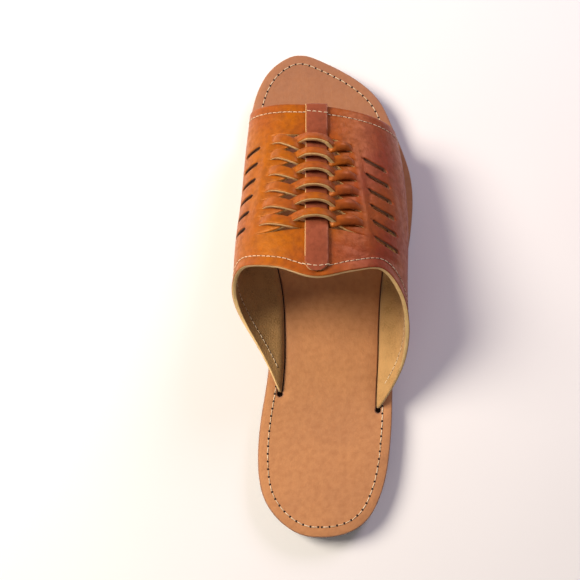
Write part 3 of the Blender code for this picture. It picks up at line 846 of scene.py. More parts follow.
@dataclass
class Vamp:
    """The upper: one wall over the last, its middle cut in strips that cross each other in pairs."""

    last: Last
    wall: float = 0.0020
    strip_wall: float = 0.0026
    strap_thickness: float = 0.0016
    strap_sink: float = 0.0010
    play: float = 0.0002
    strip_gap: float = 0.00015
    band_room: float = 0.0006
    press_reach: float = 0.0060
    slit_width: float = 0.0027
    edge_roll: float = 0.00028
    crown: float = 0.00030
    # How much wider a strip lies where it is raised, as a share of its width
    spread_over_strap: float = 0.16
    spread_inner: float = 0.24
    spread_outer: float = 0.42
    # Share of a crossing's height that the upper strip takes, on the inner and on the outer side
    upper_share: tuple = (0.82, 0.80)
    # How far a raised strip turns its heel edge up
    tilt_over_strap: float = math.radians(26.0)
    tilt_inner: float = math.radians(14.0)
    tilt_outer: float = math.radians(-9.0)
    # How high the outer side's upper strips puff up in their middle
    puff_outer: float = 0.0011
    rear_flare: float = 0.0008
    rear_thicker: float = 0.0006
    band_curl: float = 0.0008
    # A side's rough length from ridge to slot, for the slits' round ends
    side_run: float = 0.075
    # Columns over which the weave's cuts open
    opening_columns: int = 8
    # Run over which a strip's gap opens, in gaps, and over which the upper share changes sides
    gap_ramp: float = 4.0
    share_ramp: float = 0.1
    # How much sooner than the strap sinks the front band makes room for it
    room_ramp: float = 2.0
    # What is left of a fold at its ends
    fold_end: float = 0.35
    # Share at which the rear edge's flare is gone, and the run over which it fades
    flare_end: float = 0.95
    flare_fade: float = 0.25
    # What a hand leaves uneven: seed, shift to either side and added rise
    hand_seed: int = 11
    hand_shift: float = 0.00022
    hand_rise: float = 0.00045
    # Points down each tab, and the columns there that the bend smooths
    tab_points: int = 6
    tab_passes: int = 6
    bent_columns: tuple = (4, 10)
    # Cells across each kind of row, and the share at which its first and last line lie
    front_rows: tuple = (15, 0.014)
    strip_rows: tuple = (5, 0.065)
    rear_rows: tuple = (30, 0.010)
    pairs: int = 6
    ridge_line: int = 4
    # Which lines the weave lies between, and which cells hold the side slits
    weave_lines: tuple = (3, 5)
    slits: tuple = (1, 6)
    # Cutting lines: share at toe end, share at heel end, along of first cut, along of last cut
    lines: tuple = (
        (-1.000, -1.000, 0.748, 0.529), (-0.660, -0.660, 0.760, 0.551), (-0.480, -0.480, 0.770, 0.563),
        (-0.365, -0.365, 0.773, 0.563), (0.000, 0.000, 0.764, 0.569), (0.250, 0.287, 0.749, 0.558),
        (0.330, 0.352, 0.738, 0.541), (0.508, 0.540, 0.719, 0.519), (1.000, 1.000, 0.688, 0.486),
    )
    # Cells between those lines
    cells: tuple = (30, 20, 5, 52, 30, 4, 20, 32)
    # A pair: share at toe end, share at heel end, how far the two have changed places, how far they
    # pass over each other, how far they wrap round the centre strap
    weave: tuple = (
        (-0.365, -0.365, 0.00, 0.00, 0.00), (-0.320, -0.318, 0.03, 0.60, 0.00),
        (-0.265, -0.258, 0.21, 1.00, 0.00), (-0.212, -0.200, 0.49, 1.00, 0.09),
        (-0.165, -0.155, 0.74, 0.90, 0.34), (-0.122, -0.114, 0.90, 0.45, 0.69),
        (-0.083, -0.073, 0.97, 0.00, 0.98), (-0.040, -0.035, 0.995, 0.00, 1.19),
        (0.000, 0.000, 1.00, 0.00, 1.28), (0.040, 0.035, 0.96, 0.00, 1.18),
        (0.079, 0.070, 0.86, 0.20, 0.96), (0.107, 0.101, 0.71, 0.85, 0.67),
        (0.134, 0.131, 0.52, 1.00, 0.36), (0.160, 0.162, 0.32, 1.00, 0.12),
        (0.190, 0.200, 0.13, 0.90, 0.01), (0.228, 0.256, 0.01, 0.50, 0.00),
        (0.250, 0.287, 0.00, 0.00, 0.00),
    )
    # Folds and creases that wear has left: share and along of one end, of the other, height, half width
    folds: tuple = (
        (-0.392, 0.776, -0.392, 0.562, 0.00085, 0.0030), (0.272, 0.750, 0.310, 0.552, 0.00075, 0.0028),
        (-0.60, 0.545, -0.30, 0.532, -0.00030, 0.0022), (0.36, 0.526, 0.64, 0.500, -0.00035, 0.0022),
        (0.12, 0.800, 0.44, 0.786, -0.00025, 0.0026), (-0.50, 0.806, -0.16, 0.800, -0.00025, 0.0026),
        (0.58, 0.700, 0.66, 0.520, -0.00030, 0.0030), (0.10, 0.540, 0.30, 0.520, -0.00022, 0.0018),
    )
    toe_share: np.ndarray = field(init=False, repr=False)
    heel_share: np.ndarray = field(init=False, repr=False)
    first_cut: np.ndarray = field(init=False, repr=False)
    last_cut: np.ndarray = field(init=False, repr=False)
    marks: list = field(init=False, repr=False)

    def __post_init__(self) -> None:
        """Lay out the pattern's columns."""
        toe, heel, marks = [], [], []
        for k, count in enumerate(self.cells):
            marks.append(len(toe))
            t = np.arange(count) / count
            if k in self.slits:
                t = (1 - np.cos(math.pi * t)) / 2
            toe += list(self.lines[k][0] + (self.lines[k + 1][0] - self.lines[k][0]) * t)
            heel += list(self.lines[k][1] + (self.lines[k + 1][1] - self.lines[k][1]) * t)
        marks.append(len(toe))
        self.marks = marks
        self.toe_share = np.array(toe + [1.0])
        self.heel_share = np.array(heel + [1.0])
        toe_end, heel_end, first, final = np.array(self.lines).T
        self.first_cut = glide(toe_end, first, self.toe_share)
        self.last_cut = glide(heel_end, final, self.heel_share)

    @property
    def strips(self) -> int:
        """Number of strips."""
        return 2 * self.pairs

    def share_at(self, line: np.ndarray) -> np.ndarray:
        """Shares of all columns at a row line, given as a number or a column of numbers."""
        down = np.clip(np.asarray(line, float) / self.strips, 0, 1)
        return self.toe_share + (self.heel_share - self.toe_share) * down

    def along_at(self, line: np.ndarray) -> np.ndarray:
        """Along values of all columns at a row line in the weave."""
        return self.first_cut + (self.last_cut - self.first_cut) * np.asarray(line, float) / self.strips

    def weave_reach(self) -> np.ndarray:
        """How many columns each column lies inside the weave, negative outside it.

        Returns:
            A count for each column.
        """
        low, high = [self.marks[line] for line in self.weave_lines]
        number = np.arange(len(self.toe_share))
        return np.minimum(number - low, high - number)

    def in_weave(self) -> np.ndarray:
        """Which columns the weave cuts open."""
        return self.weave_reach() > 0

    def slit_half(self) -> np.ndarray:
        """Half width of the side slits at each column, with round ends, in metres.

        Returns:
            A half width for each column, 0 where there is no slit.
        """
        half = np.zeros(len(self.toe_share))
        radius = self.slit_width / 2
        for cell in self.slits:
            low, high = self.marks[cell], self.marks[cell + 1]
            share = self.toe_share[low:high + 1]
            span = abs(share - share[0]) * self.side_run
            near = np.minimum(span, span[-1] - span)
            half[low:high + 1] = radius * np.sqrt(1 - (1 - np.clip(near / radius, 0, 1)) ** 2)
        return half

    def unevenness(self) -> np.ndarray:
        """Each strip's shift to the toe and extra rise over the strap, in metres, as a hand leaves them.

        Returns:
            A shift and a rise for each strip.
        """
        draw = np.random.default_rng(self.hand_seed)
        shift = draw.uniform(-self.hand_shift, self.hand_shift, self.strips)
        raised = draw.uniform(0.0, self.hand_rise, self.strips)
        return np.stack((shift, raised), axis=1)

    def opening(self) -> np.ndarray:
        """How far the cuts of the weave have opened at each column, 0 at their ends."""
        return ease(self.weave_reach() / self.opening_columns)

    def worn(self, share: np.ndarray, along: np.ndarray) -> np.ndarray:
        """Height that folds and creases add at each place, in metres.

        Args:
            share: signed shares of the places.
            along: along values of the same places.

        Returns:
            Heights, negative in a crease.
        """
        across = share * self.last.side_length(share, along)
        forward = along * self.last.sole_length
        height = np.zeros_like(across)
        for share_a, along_a, share_b, along_b, rise, half in self.folds:
            ends = [(share_a, along_a), (share_b, along_b)]
            (x_a, y_a), (x_b, y_b) = [
                (float(s * self.last.side_length(s, a)), a * self.last.sole_length) for s, a in ends]
            run_x, run_y = x_b - x_a, y_b - y_a
            length = run_x ** 2 + run_y ** 2
            t = np.clip(((across - x_a) * run_x + (forward - y_a) * run_y) / length, 0, 1)
            away = np.hypot(across - x_a - t * run_x, forward - y_a - t * run_y)
            fade = self.fold_end + (1 - self.fold_end) * np.sin(math.pi * t)
            height += rise * np.exp(-(away / half) ** 2) * fade
        return height

    def strip(self, row: int, across: np.ndarray) -> tuple[np.ndarray, np.ndarray, np.ndarray]:
        """One row of the weave and of the side panels.

        Args:
            row: number of the strip, 0 next to the toe.
            across: shares from the strip's toe edge to its heel edge, as a column.

        Returns:
            Shares, along values and lifts over the last.
        """
        over = row % 2 == 0
        middle_line = 2 * (row // 2) + 1
        line = row + across
        share, along = self.share_at(line), self.along_at(line) + 0 * across
        slit = self.slit_half() / self.last.sole_length
        along = along + (slit * across if over else -slit * (1 - across))
        inside = self.in_weave()
        down = middle_line / self.strips
        toe_end, heel_end, *columns = np.array(self.weave).T
        stations = toe_end + (heel_end - toe_end) * down
        at = self.share_at(middle_line)
        swap, crossing, wrapping = (glide(stations, column, at) for column in columns)
        pitch = (self.first_cut - self.last_cut) / self.strips
        reach = np.minimum(at - stations[0], stations[-1] - at)
        root = reach * self.last.side_length(at, self.along_at(middle_line))
        gap = self.strip_gap / self.last.sole_length * ease(root / (self.gap_ramp * self.strip_gap))
        centre = self.along_at(middle_line) + pitch * (0.5 - swap) * (1 if over else -1)
        spot = at * self.last.side_length(at, self.along_at(middle_line))
        slope = np.gradient(centre * self.last.sole_length, spot)
        raised_part = crossing if over else wrapping.clip(0, 1) ** 2
        if over:
            wide = np.where(at < 0, self.spread_inner, self.spread_outer)
            turned = np.where(at < 0, self.tilt_inner, self.tilt_outer)
            puff = np.where(at > 0, self.puff_outer, 0.0) * raised_part
        else:
            wide, turned, puff = self.spread_over_strap, self.tilt_over_strap, 0.0
        slant = 1 + (np.hypot(1, slope) - 1 + wide * raised_part) * self.opening()
        shift, raised = self.unevenness()[row]
        centre = centre + shift * self.opening() / self.last.sole_length
        woven = centre + (pitch - gap) / 2 * slant * (1 - 2 * across)
        cross_lift = self.strip_wall + self.play
        inner_share, outer_share = self.upper_share
        upper_share = inner_share + (outer_share - inner_share) * ease(at / self.share_ramp)
        under_lift = -(self.strap_sink + self.play)
        over_lift = self.strap_thickness - self.strap_sink + self.play + self.strip_wall
        if over:
            lift = crossing * cross_lift * upper_share + wrapping.clip(0, 1) * under_lift
        else:
            lift = wrapping * over_lift - crossing * cross_lift * (1 - upper_share) + raised * wrapping
        crown = (self.crown * self.opening() + puff) * (1 - (2 * across - 1) ** 2)
        crown = crown + np.sin(turned) * pitch * self.last.sole_length * raised_part * across
        return share, np.where(inside, woven, along), np.where(inside, lift + crown, 0.0)

    def band(self, region: Region, down: np.ndarray) -> tuple[np.ndarray, np.ndarray, np.ndarray]:
        """The front or the rear band.

        Args:
            region: which of the two.
            down: shares from the band's toe edge to its heel edge, as a column.

        Returns:
            Shares, along values and lifts over the last.
        """
        inside = self.in_weave()
        half_gap = self.strip_gap / 2 * self.opening()
        if region is Region.FRONT:
            share = self.toe_share
            toe_end, *_, wraps = np.array(self.weave).T
            wrapping = glide(toe_end, wraps, share)
            room = (half_gap + self.band_room * ease(self.room_ramp * wrapping)) / self.last.sole_length
            cut = self.first_cut + np.where(inside, room, 0.0)
            edge = self.last.front_edge(share)
            along = edge + (cut - edge) * down
            near_cut = ease(1 - (along - cut) * self.last.sole_length / self.press_reach)
            curl = self.band_curl * self.opening() * (1 - wrapping.clip(0, 1))
            lift = (curl - (self.strap_sink + self.play) * wrapping.clip(0, 1)) * near_cut
        else:
            share = self.heel_share
            cut = self.last_cut - np.where(inside, half_gap / self.last.sole_length, 0.0)
            edge = self.last.rear_edge(share)
            along = cut + (edge - cut) * down
            near_edge = ease(1 - (along - edge) * self.last.sole_length / self.press_reach)
            lift = self.rear_flare * near_edge * ease((self.flare_end - abs(share)) / self.flare_fade)
        return np.broadcast_to(share, along.shape), along, lift

    def tabs(self, points: np.ndarray, along: np.ndarray) -> np.ndarray:
        """Carry the ends of rows down into the insole's slots with a soft bend.

        Args:
            points: rows by columns of points.
            along: along values of the same rows and columns.

        Returns:
            The rows with extra columns at both ends.
        """
        sides = []
        down = np.linspace(1 / self.tab_points, 1, self.tab_points)
        for column in (0, -1):
            bottom = self.last.insole_bottom(along[:, column])
            foot = np.repeat(points[:, column, None], self.tab_points, axis=1)
            foot[..., 2] += (bottom[:, None] - foot[..., 2]) * down
            sides.append(foot)
        wide = np.concatenate((sides[0][:, ::-1], points, sides[1]), axis=1)
        low, high = self.bent_columns
        for _ in range(self.tab_passes):
            smooth = (wide[:, :-2] + 2 * wide[:, 1:-1] + wide[:, 2:]) / 4
            wide[:, low:high] = smooth[:, low - 1:high - 1]
            wide[:, -high:-low] = smooth[:, 1 - high:1 - low]
        return wide

    def sheet(self) -> Sheet:
        """The whole vamp as one layer, cut open where the real one is.

        Returns:
            The layer of its outer face, before it gets its thickness.
        """
        blocks = [(Region.FRONT, 0, edge_spacing(*self.front_rows))]
        blocks += [(Region.STRIP, row, edge_spacing(*self.strip_rows)) for row in range(self.strips)]
        blocks += [(Region.REAR, 0, edge_spacing(*self.rear_rows))]
        points, quads, walls, painted_shade = [], [], [], []
        start = 0
        opening = self.opening() * self.in_weave()
        in_slit = np.pad(self.slit_half() > 0, self.tab_points)
        in_slit = in_slit | np.roll(in_slit, 1) | np.roll(in_slit, -1)
        for region, row, spacing in blocks:
            across = spacing[:, None]
            if region is Region.STRIP:
                share, along, lift = self.strip(row, across)
                wall = self.wall + (self.strip_wall - self.wall) * opening + 0 * across
            else:
                share, along, lift = self.band(region, across)
                wall = np.full(along.shape, self.wall)
                if region is Region.REAR:
                    wall = wall + self.rear_thicker * ease(lift / self.rear_flare)
            lift = lift + self.worn(share, along)
            wide = self.tabs(self.last.raised(share, along, lift), along)
            rows, columns = wide.shape[:2]
            wall = np.pad(wall, ((0, 0), (self.tab_points, self.tab_points)), mode="edge")
            points.append(wide.reshape(-1, 3))
            walls.append(wall.reshape(-1))
            # The side slits' cut edges are marked for the dark material of painted shade
            cut = in_slit & (region is Region.STRIP)
            painted_shade.append(np.broadcast_to(cut, (rows, columns)).reshape(-1))
            quads.append(grid_quads(rows, columns, start))
            start += rows * columns
        return Sheet(np.concatenate(points), np.concatenate(quads), np.concatenate(walls),
                     np.concatenate(painted_shade)).merged()

    def build(self, wardrobe: Wardrobe) -> Object:
        """Make the vamp in place of the CAD's upper.

        Args:
            wardrobe: the finishes.

        Returns:
            The finished piece.
        """
        finishes = [wardrobe.vamp, wardrobe.flesh, wardrobe.cut_edge, wardrobe.slit_edge]
        item = self.sheet().shell("vamp", finishes, self.edge_roll)
        return settle(item, "upper", slot="upper_leather")


@dataclass
class CentreStrap:
    """The strap that runs down the vamp's ridge, over one strip of each pair and under the other."""

    last: Last
    vamp: Vamp
    width: float = 0.0125
    room: float = 0.0050
    bend_share: float = 0.75
    rear: float = 0.4808
    crown: float = 0.00012
    edge_roll: float = 0.00022
    # The skived strip along one edge: its share of the width, and rows without it before the round end
    skive: float = 0.020
    skive_stop: int = 4
    body_rows: int = 130
    end_rows: int = 14
    end_turn: float = math.radians(86.0)
    cells: int = 10

    def dip(self, along: np.ndarray) -> np.ndarray:
        """How far the strap has sunk between the strips, 0 to 1.

        Args:
            along: along values.

        Returns:
            Shares of the full depth.
        """
        first, final = self.vamp.lines[self.vamp.ridge_line][2:]
        strip = (first - final) / self.vamp.strips
        room = self.room / self.last.sole_length
        falling = ease((first + room - along) / (self.bend_share * room))
        return falling * ease((along - final) / strip)

    def top_lift(self, along: np.ndarray) -> np.ndarray:
        """Height of the strap's top over the last."""
        play = self.vamp.play
        return play - (self.vamp.strap_sink + play) * self.dip(along) + self.vamp.strap_thickness

    def build(self, wardrobe: Wardrobe) -> Object:
        """Make the strap in place of the CAD's.

        Args:
            wardrobe: the finishes.

        Returns:
            The finished piece.
        """
        radius = self.width / 2 / self.last.sole_length
        front = float(self.last.front_edge(np.array(0.0)))
        centre = self.rear + radius
        body = np.linspace(front, centre, self.body_rows)
        turn = np.linspace(0, self.end_turn, self.end_rows)[1:]
        along = np.concatenate((body, centre - radius * np.sin(turn)))
        half = self.width / 2 * np.concatenate((np.ones(len(body)), np.cos(turn)))
        across = 2 * edge_spacing(self.cells, self.skive) - 1
        offset = half[:, None] * across
        at = np.broadcast_to(along[:, None], offset.shape)
        share = offset / self.last.side_length(offset, at)
        lift = self.top_lift(at) + self.crown * (1 - across ** 2)
        points = self.last.raised(share, at, lift)
        quads = grid_quads(*offset.shape)
        row, column = np.divmod(quads[:, 0], len(across))
        skived = (column == 0) & (row < len(body) - self.skive_stop)
        wall = np.full(offset.size, self.vamp.strap_thickness)
        sheet = Sheet(points.reshape(-1, 3), quads, wall, skived=skived)
        item = sheet.shell("strap_down_the_middle", [wardrobe.strap, wardrobe.flesh, wardrobe.cut_edge],
                           self.edge_roll)
        return settle(item, "centre_strap", slot="strap_leather")


# Insole and outsole

class Face(IntEnum):
    """Numbers of a plate's materials."""

    TOP = 0
    SIDE = 1
    UNDERSIDE = 2


@dataclass
class Plate:
    """A plate between two heights, with holes, worn edges and an even spread of points inside."""

    last: Last
    loops: list[np.ndarray]
    top: Callable[[np.ndarray], np.ndarray]
    bottom: Callable[[np.ndarray], np.ndarray]
    spread: float = 0.006
    weld: float = 1e-7
    # The triangulation's kind of output: triangles of the whole hull
    whole_hull: ClassVar[int] = 0
    # Where the middle of a quarter round lies, as a share of its radius from either face
    round_middle: ClassVar[float] = 0.3

    @classmethod
    def foot(cls, radius: float) -> list[tuple[float, float, float]]:
        """Rings of a side's rounded lower corner, from the top down."""
        middle = cls.round_middle * radius
        return [(0.0, radius, 0.0), (0.0, middle, middle), (0.0, 0.0, radius)]

    def heights(self, flat: np.ndarray) -> tuple[np.ndarray, np.ndarray]:
        """Heights of the underside and of the top at places in the plane."""
        along = self.last.along_of(flat[:, 1])
        return self.bottom(along), self.top(along)

    def fill(self, loops: list[np.ndarray]) -> tuple[np.ndarray, list]:
        """Triangles of the flat area between loops.

        Args:
            loops: the outer loop first, then the holes.

        Returns:
            Points in the plane, those of the loops first, and triangles.
        """
        edges, start = [], 0
        for loop in loops:
            count = len(loop)
            edges += [(start + i, start + (i + 1) % count) for i in range(count)]
            start += count
        outline = np.concatenate(loops)
        low, high = outline.min(0), outline.max(0)
        xs = np.arange(low[0], high[0], self.spread)
        ys = np.arange(low[1], high[1], self.spread)
        grid = np.array([(x, y) for y in ys for x in xs])
        near = np.array([np.min(np.hypot(*(outline - point).T)) for point in grid])
        inside = near > self.spread / 2
        every = np.concatenate((outline, grid[inside]))
        found = delaunay_2d_cdt([Vector(p) for p in every], edges, [], self.whole_hull, self.weld)
        places = np.array([tuple(p) for p in found[0]])
        triangles = []
        for face in found[2]:
            middle = places[list(face)].mean(0)
            if self.contains(loops, middle):
                triangles.append(tuple(face))
        return places, triangles

    @staticmethod
    def contains(loops: list[np.ndarray], point: np.ndarray) -> bool:
        """Whether a point lies in the area between the loops.

        Args:
            loops: closed loops, the outer one and its holes.
            point: place in the plane.

        Returns:
            True where it does.
        """
        odd = False
        for loop in loops:
            a, b = loop, np.roll(loop, -1, axis=0)
            spans = (a[:, 1] > point[1]) != (b[:, 1] > point[1])
            a, b = a[spans], b[spans]
            cross = a[:, 0] + (point[1] - a[:, 1]) * (b[:, 0] - a[:, 0]) / (b[:, 1] - a[:, 1])
            odd ^= bool(np.sum(cross > point[0]) % 2)
        return odd

    def build(self, name: str, materials: list[Material],
              profile: list[tuple[float, float, float]]) -> Object:
        """Make the plate.

        Args:
            name: the object's name.
            materials: top, side and underside.
            profile: rings of the side from top to bottom: share of the height from the bottom, added
                height and depth inside the side, in metres.

        Returns:
            The linked object.
        """
        faces, slots, vertices = [], [], []
        flat_top, triangles = self.fill([inset(loop, profile[0][2]) for loop in self.loops])
        total = len(flat_top)
        loop_points = sum(len(loop) for loop in self.loops)
        vertices.append(np.column_stack((flat_top, self.heights(flat_top)[1])))
        faces += triangles
        slots += [Face.TOP] * len(triangles)
        flat_low = flat_top.copy()
        flat_low[:loop_points] = np.concatenate([inset(loop, profile[-1][2]) for loop in self.loops])
        vertices.append(np.column_stack((flat_low, self.heights(flat_low)[0])))
        faces += [tuple(total + v for v in reversed(face)) for face in triangles]
        slots += [Face.UNDERSIDE] * len(triangles)
        start = 2 * total
        rings = [np.arange(loop_points)]
        for share, rise, depth in profile[1:-1]:
            flat = np.concatenate([inset(loop, depth) for loop in self.loops])
            low, high = self.heights(flat)
            vertices.append(np.column_stack((flat, low + (high - low) * share + rise)))
            rings.append(start + np.arange(loop_points))
            start += loop_points
        rings.append(total + np.arange(loop_points))
        for upper, lower in zip(rings, rings[1:]):
            first = 0
            for loop in self.loops:
                count = len(loop)
                for i in range(count):
                    a, b = first + i, first + (i + 1) % count
                    faces.append((upper[a], lower[a], lower[b], upper[b]))
                    slots.append(Face.SIDE)
                first += count
        return link_mesh(name, np.concatenate(vertices), faces, materials, slots)


@dataclass
class Insole:
    """The leather footbed with a long slot on each side and a punched round hole at each slot's rear end."""

    last: Last
    wall: float = 0.0020
    slot_clearance: float = 0.00045
    punch_radius: float = 0.0017
    edge_radius: float = 0.0007
    slot_rows: int = 70
    end_points: int = 8
    punch_points: int = 20

    def slot_loop(self, side: int) -> np.ndarray:
        """Outline of one slot with its punched end, with the clock.

        Args:
            side: -1 for the inner slot, 1 for the outer one.

        Returns:
            Points in the plane.
        """
        share = np.array(float(side))
        rear = float(self.last.rear_edge(share))
        front = float(self.last.front_edge(share))
        spare = self.slot_clearance / self.last.sole_length
        half = self.wall / 2 + self.slot_clearance
        along = np.linspace(rear - spare, front + spare, self.slot_rows)
        middle = self.last.slot_across(along, side) - side * self.wall / 2
        y = self.last.y_of(along)
        right = np.stack((middle + half, y), axis=1)
        left = np.stack((middle - half, y), axis=1)
        turn = np.linspace(0, math.pi, self.end_points)[1:-1]
        front_end = np.stack((middle[-1] + half * np.cos(turn), y[-1] + half * np.sin(turn)), axis=1)
        reach = math.asin(half / self.punch_radius)
        punch = np.linspace(math.pi / 2 + reach, 5 * math.pi / 2 - reach, self.punch_points)
        hole_y = y[0] - self.punch_radius * math.cos(reach)
        rear_end = np.stack((middle[0] + self.punch_radius * np.cos(punch),
                             hole_y + self.punch_radius * np.sin(punch)), axis=1)
        loop = np.concatenate((right[1:], front_end, left[::-1][:-1], rear_end))
        return loop[::-1]

    def build(self, wardrobe: Wardrobe) -> Object:
        """Make the insole in place of the CAD's.

        Args:
            wardrobe: the finishes.

        Returns:
            The finished piece.
        """
        loops = [self.last.sole_loop(), self.slot_loop(-1), self.slot_loop(1)]
        foot = Plate.foot(self.edge_radius)
        head = [(1.0, -rise, depth) for _, rise, depth in reversed(foot)]
        plate = Plate(self.last, loops, self.last.insole_top, self.last.insole_bottom)
        finishes = [wardrobe.insole, wardrobe.sole_edge, wardrobe.flesh]
        item = plate.build("insole_footbed", finishes, head + foot)
        return settle(item, "insole", slot="insole_leather")


@dataclass
class Outsole:
    """The rubber sole: flat under heel and ball, hollow under the arch, sprung at the toe."""

    last: Last
    edge_radius: float = 0.0008
    # The top corner's chamfer, and the trimmed line round the side: its heights and its depth
    chamfer: float = 0.00032
    line_shares: tuple = (0.55, 0.50, 0.45)
    line_depth: float = 0.00028

    def build(self, wardrobe: Wardrobe) -> Object:
        """Make the outsole in place of the CAD's.

        Args:
            wardrobe: the finishes.

        Returns:
            The finished piece.
        """
        upper, middle, lower = self.line_shares
        profile = [(1.0, 0.0, self.chamfer), (1.0, -self.chamfer, 0.0), (upper, 0.0, 0.0),
                   (middle, 0.0, self.line_depth), (lower, 0.0, 0.0), *Plate.foot(self.edge_radius)]
        plate = Plate(self.last, [self.last.sole_loop()],
                      lambda along: self.last.insole_bottom(along) - self.last.clearance,
                      self.last.underside_height)
        item = plate.build("outsole_tread", [wardrobe.rubber] * 3, profile)
        return settle(item, "outsole", slot="outsole_rubber")


# Stitching

class Mark(Enum):
    """What a row of sewing leaves on the leather."""

    STITCH = "stitches"
    # Dark discs: painted shade of the needle holes
    HOLE = "holes"


@dataclass
class Seam:
    """A row of lockstitch along a path, made by Geometry Nodes."""

    name: str
    path: np.ndarray
    up: np.ndarray
    closed: bool = False
    pitch: float = 0.0032
    length: float = 0.0025
    thread: float = 0.00023
    # The dark discs that paint the shade of the needle holes: radius, depth and sides
    hole: float = 0.00036
    hole_depth: float = 0.00012
    hole_sides: int = 8
    thread_sides: int = 6
    arch_points: int = 5
    # How deep a stitch's ends dive and how high its arch is drawn, in thread radii
    dive: float = -0.7
    arch: float = 2.0
    sway: float = 0.09
    seed: int = 7

    def tree(self, mark: Mark, material: Material) -> NodeTree:
        """Build the node tree that sets stitches or holes along a path.

        Args:
            mark: which of the two.
            material: its material.

        Returns:
            The tree, with named inputs for its sizes.
        """
        tree = bpy.data.node_groups.new(f"{self.name}_{mark.value}_row", "GeometryNodeTree")
        face = tree.interface
        face.new_socket("Path", in_out="INPUT", socket_type="NodeSocketGeometry")
        for name in ("Pitch", "Length", "Radius", "Sway"):
            face.new_socket(name, in_out="INPUT", socket_type="NodeSocketFloat")
        face.new_socket("Seed", in_out="INPUT", socket_type="NodeSocketInt")
        face.new_socket("Row", in_out="OUTPUT", socket_type="NodeSocketGeometry")
        put = partial(add_node, tree)
        given = put("NodeGroupInput").outputs
        curve = put("GeometryNodeMeshToCurve", {"Mesh": given["Path"]})
        half = put("ShaderNodeMath", {0: given["Pitch"], 1: 0.5}, operation="MULTIPLY")
        dense = put("GeometryNodeResampleCurve", {
            "Curve": curve.outputs[0], "Length": half.outputs[0]}, mode="LENGTH")
        number = put("GeometryNodeInputIndex")
        chosen = put("ShaderNodeMath", {0: number.outputs[0], 1: 2.0}, operation="MODULO").outputs[0]
        # Holes: dark discs of painted shade between the stitches
        if mark is Mark.HOLE:
            chosen = put("ShaderNodeMath", {0: 1.0, 1: chosen}, operation="SUBTRACT").outputs[0]
            form = put("GeometryNodeMeshCylinder", {
                "Vertices": self.hole_sides, "Radius": given["Radius"],
                "Depth": given["Length"]}).outputs["Mesh"]
        else:
            form = self.stitch_form(tree, given)
        tangent = put("GeometryNodeInputTangent")
        up = put("GeometryNodeInputNamedAttribute", {"Name": "up"}, data_type="FLOAT_VECTOR")
        turn = put("FunctionNodeAlignRotationToVector", {"Vector": up.outputs["Attribute"]}, axis="Z")
        turned = put("FunctionNodeAlignRotationToVector", {
            "Rotation": turn.outputs[0], "Vector": tangent.outputs[0]}, axis="X", pivot_axis="Z")
        minus = put("ShaderNodeMath", {0: given["Sway"], 1: -1.0}, operation="MULTIPLY")
        sway = put("FunctionNodeRandomValue", {
            RANDOM_LOW: minus.outputs[0], RANDOM_HIGH: given["Sway"], "Seed": given["Seed"]},
            data_type="FLOAT")
        bias = put("ShaderNodeCombineXYZ", {"Z": sway.outputs[RANDOM_OUT]})
        swayed = put("FunctionNodeRotateRotation", {
            "Rotation": turned.outputs[0], "Rotate By": bias.outputs[0]}, rotation_space="LOCAL")
        placed = put("GeometryNodeInstanceOnPoints", {
            "Points": dense.outputs[0], "Selection": chosen, "Instance": form,
            "Rotation": swayed.outputs[0]})
        real = put("GeometryNodeRealizeInstances", {"Geometry": placed.outputs[0]})
        dressed = put("GeometryNodeSetMaterial", {"Geometry": real.outputs[0], "Material": material})
        put("NodeGroupOutput", {"Row": dressed.outputs[0]})
        return tree

    def stitch_form(self, tree: NodeTree, given: Any) -> NodeSocket:
        """One arched stitch whose ends dive into their holes.

        Args:
            tree: the tree to add to.
            given: the tree's inputs.

        Returns:
            The socket with its mesh.
        """
        put = partial(add_node, tree)
        reach, back, low, high = [
            put("ShaderNodeMath", {0: given[size], 1: times}, operation="MULTIPLY").outputs[0]
            for size, times in (("Length", 0.5), ("Length", -0.5), ("Radius", self.dive),
                                ("Radius", self.arch))]
        start, middle, end = [
            put("ShaderNodeCombineXYZ", ends) for ends in ({"X": back, "Z": low}, {"Z": high},
                                                           {"X": reach, "Z": low})]
        arch = put("GeometryNodeCurveQuadraticBezier", {
            "Resolution": self.arch_points, "Start": start.outputs[0], "Middle": middle.outputs[0],
            "End": end.outputs[0]})
        ring = put("GeometryNodeCurvePrimitiveCircle", {
            "Resolution": self.thread_sides, "Radius": given["Radius"]}, mode="RADIUS")
        return put("GeometryNodeCurveToMesh", {
            "Curve": arch.outputs[0], "Profile Curve": ring.outputs[0], "Fill Caps": True}).outputs[0]

    def row(self, mark: Mark, material: Material, slot: str) -> Object:
        """Make the stitches or the holes as a plain mesh.

        Args:
            mark: which of the two.
            material: its material.
            slot: the record's material slot.

        Returns:
            The finished piece.
        """
        name = f"{self.name}_{mark.value}"
        count = len(self.path)
        edges = [(i, i + 1) for i in range(count - 1)]
        if self.closed:
            edges.append((count - 1, 0))
        mesh = bpy.data.meshes.new(name)
        mesh.from_pydata([tuple(map(float, p)) for p in self.path], edges, [])
        attribute = mesh.attributes.new("up", "FLOAT_VECTOR", "POINT")
        attribute.data.foreach_set("vector", np.ascontiguousarray(self.up, np.float32).reshape(-1))
        item = bpy.data.objects.new(name, mesh)
        bpy.context.scene.collection.objects.link(item)
        modifier = item.modifiers.new("row", "NODES")
        modifier.node_group = self.tree(mark, material)
        stitch = mark is Mark.STITCH
        sizes = {
            "Pitch": self.pitch, "Length": self.length if stitch else self.hole_depth,
            "Radius": self.thread if stitch else self.hole, "Sway": self.sway, "Seed": self.seed}
        for socket in modifier.node_group.interface.items_tree:
            if socket.name in sizes:
                modifier[socket.identifier] = sizes[socket.name]
        return settle(item, slot=slot)

    def build(self, wardrobe: Wardrobe, slot: str) -> None:
        """Make the row's thread and its holes."""
        self.row(Mark.STITCH, wardrobe.thread, slot)
        self.row(Mark.HOLE, wardrobe.hole, slot)


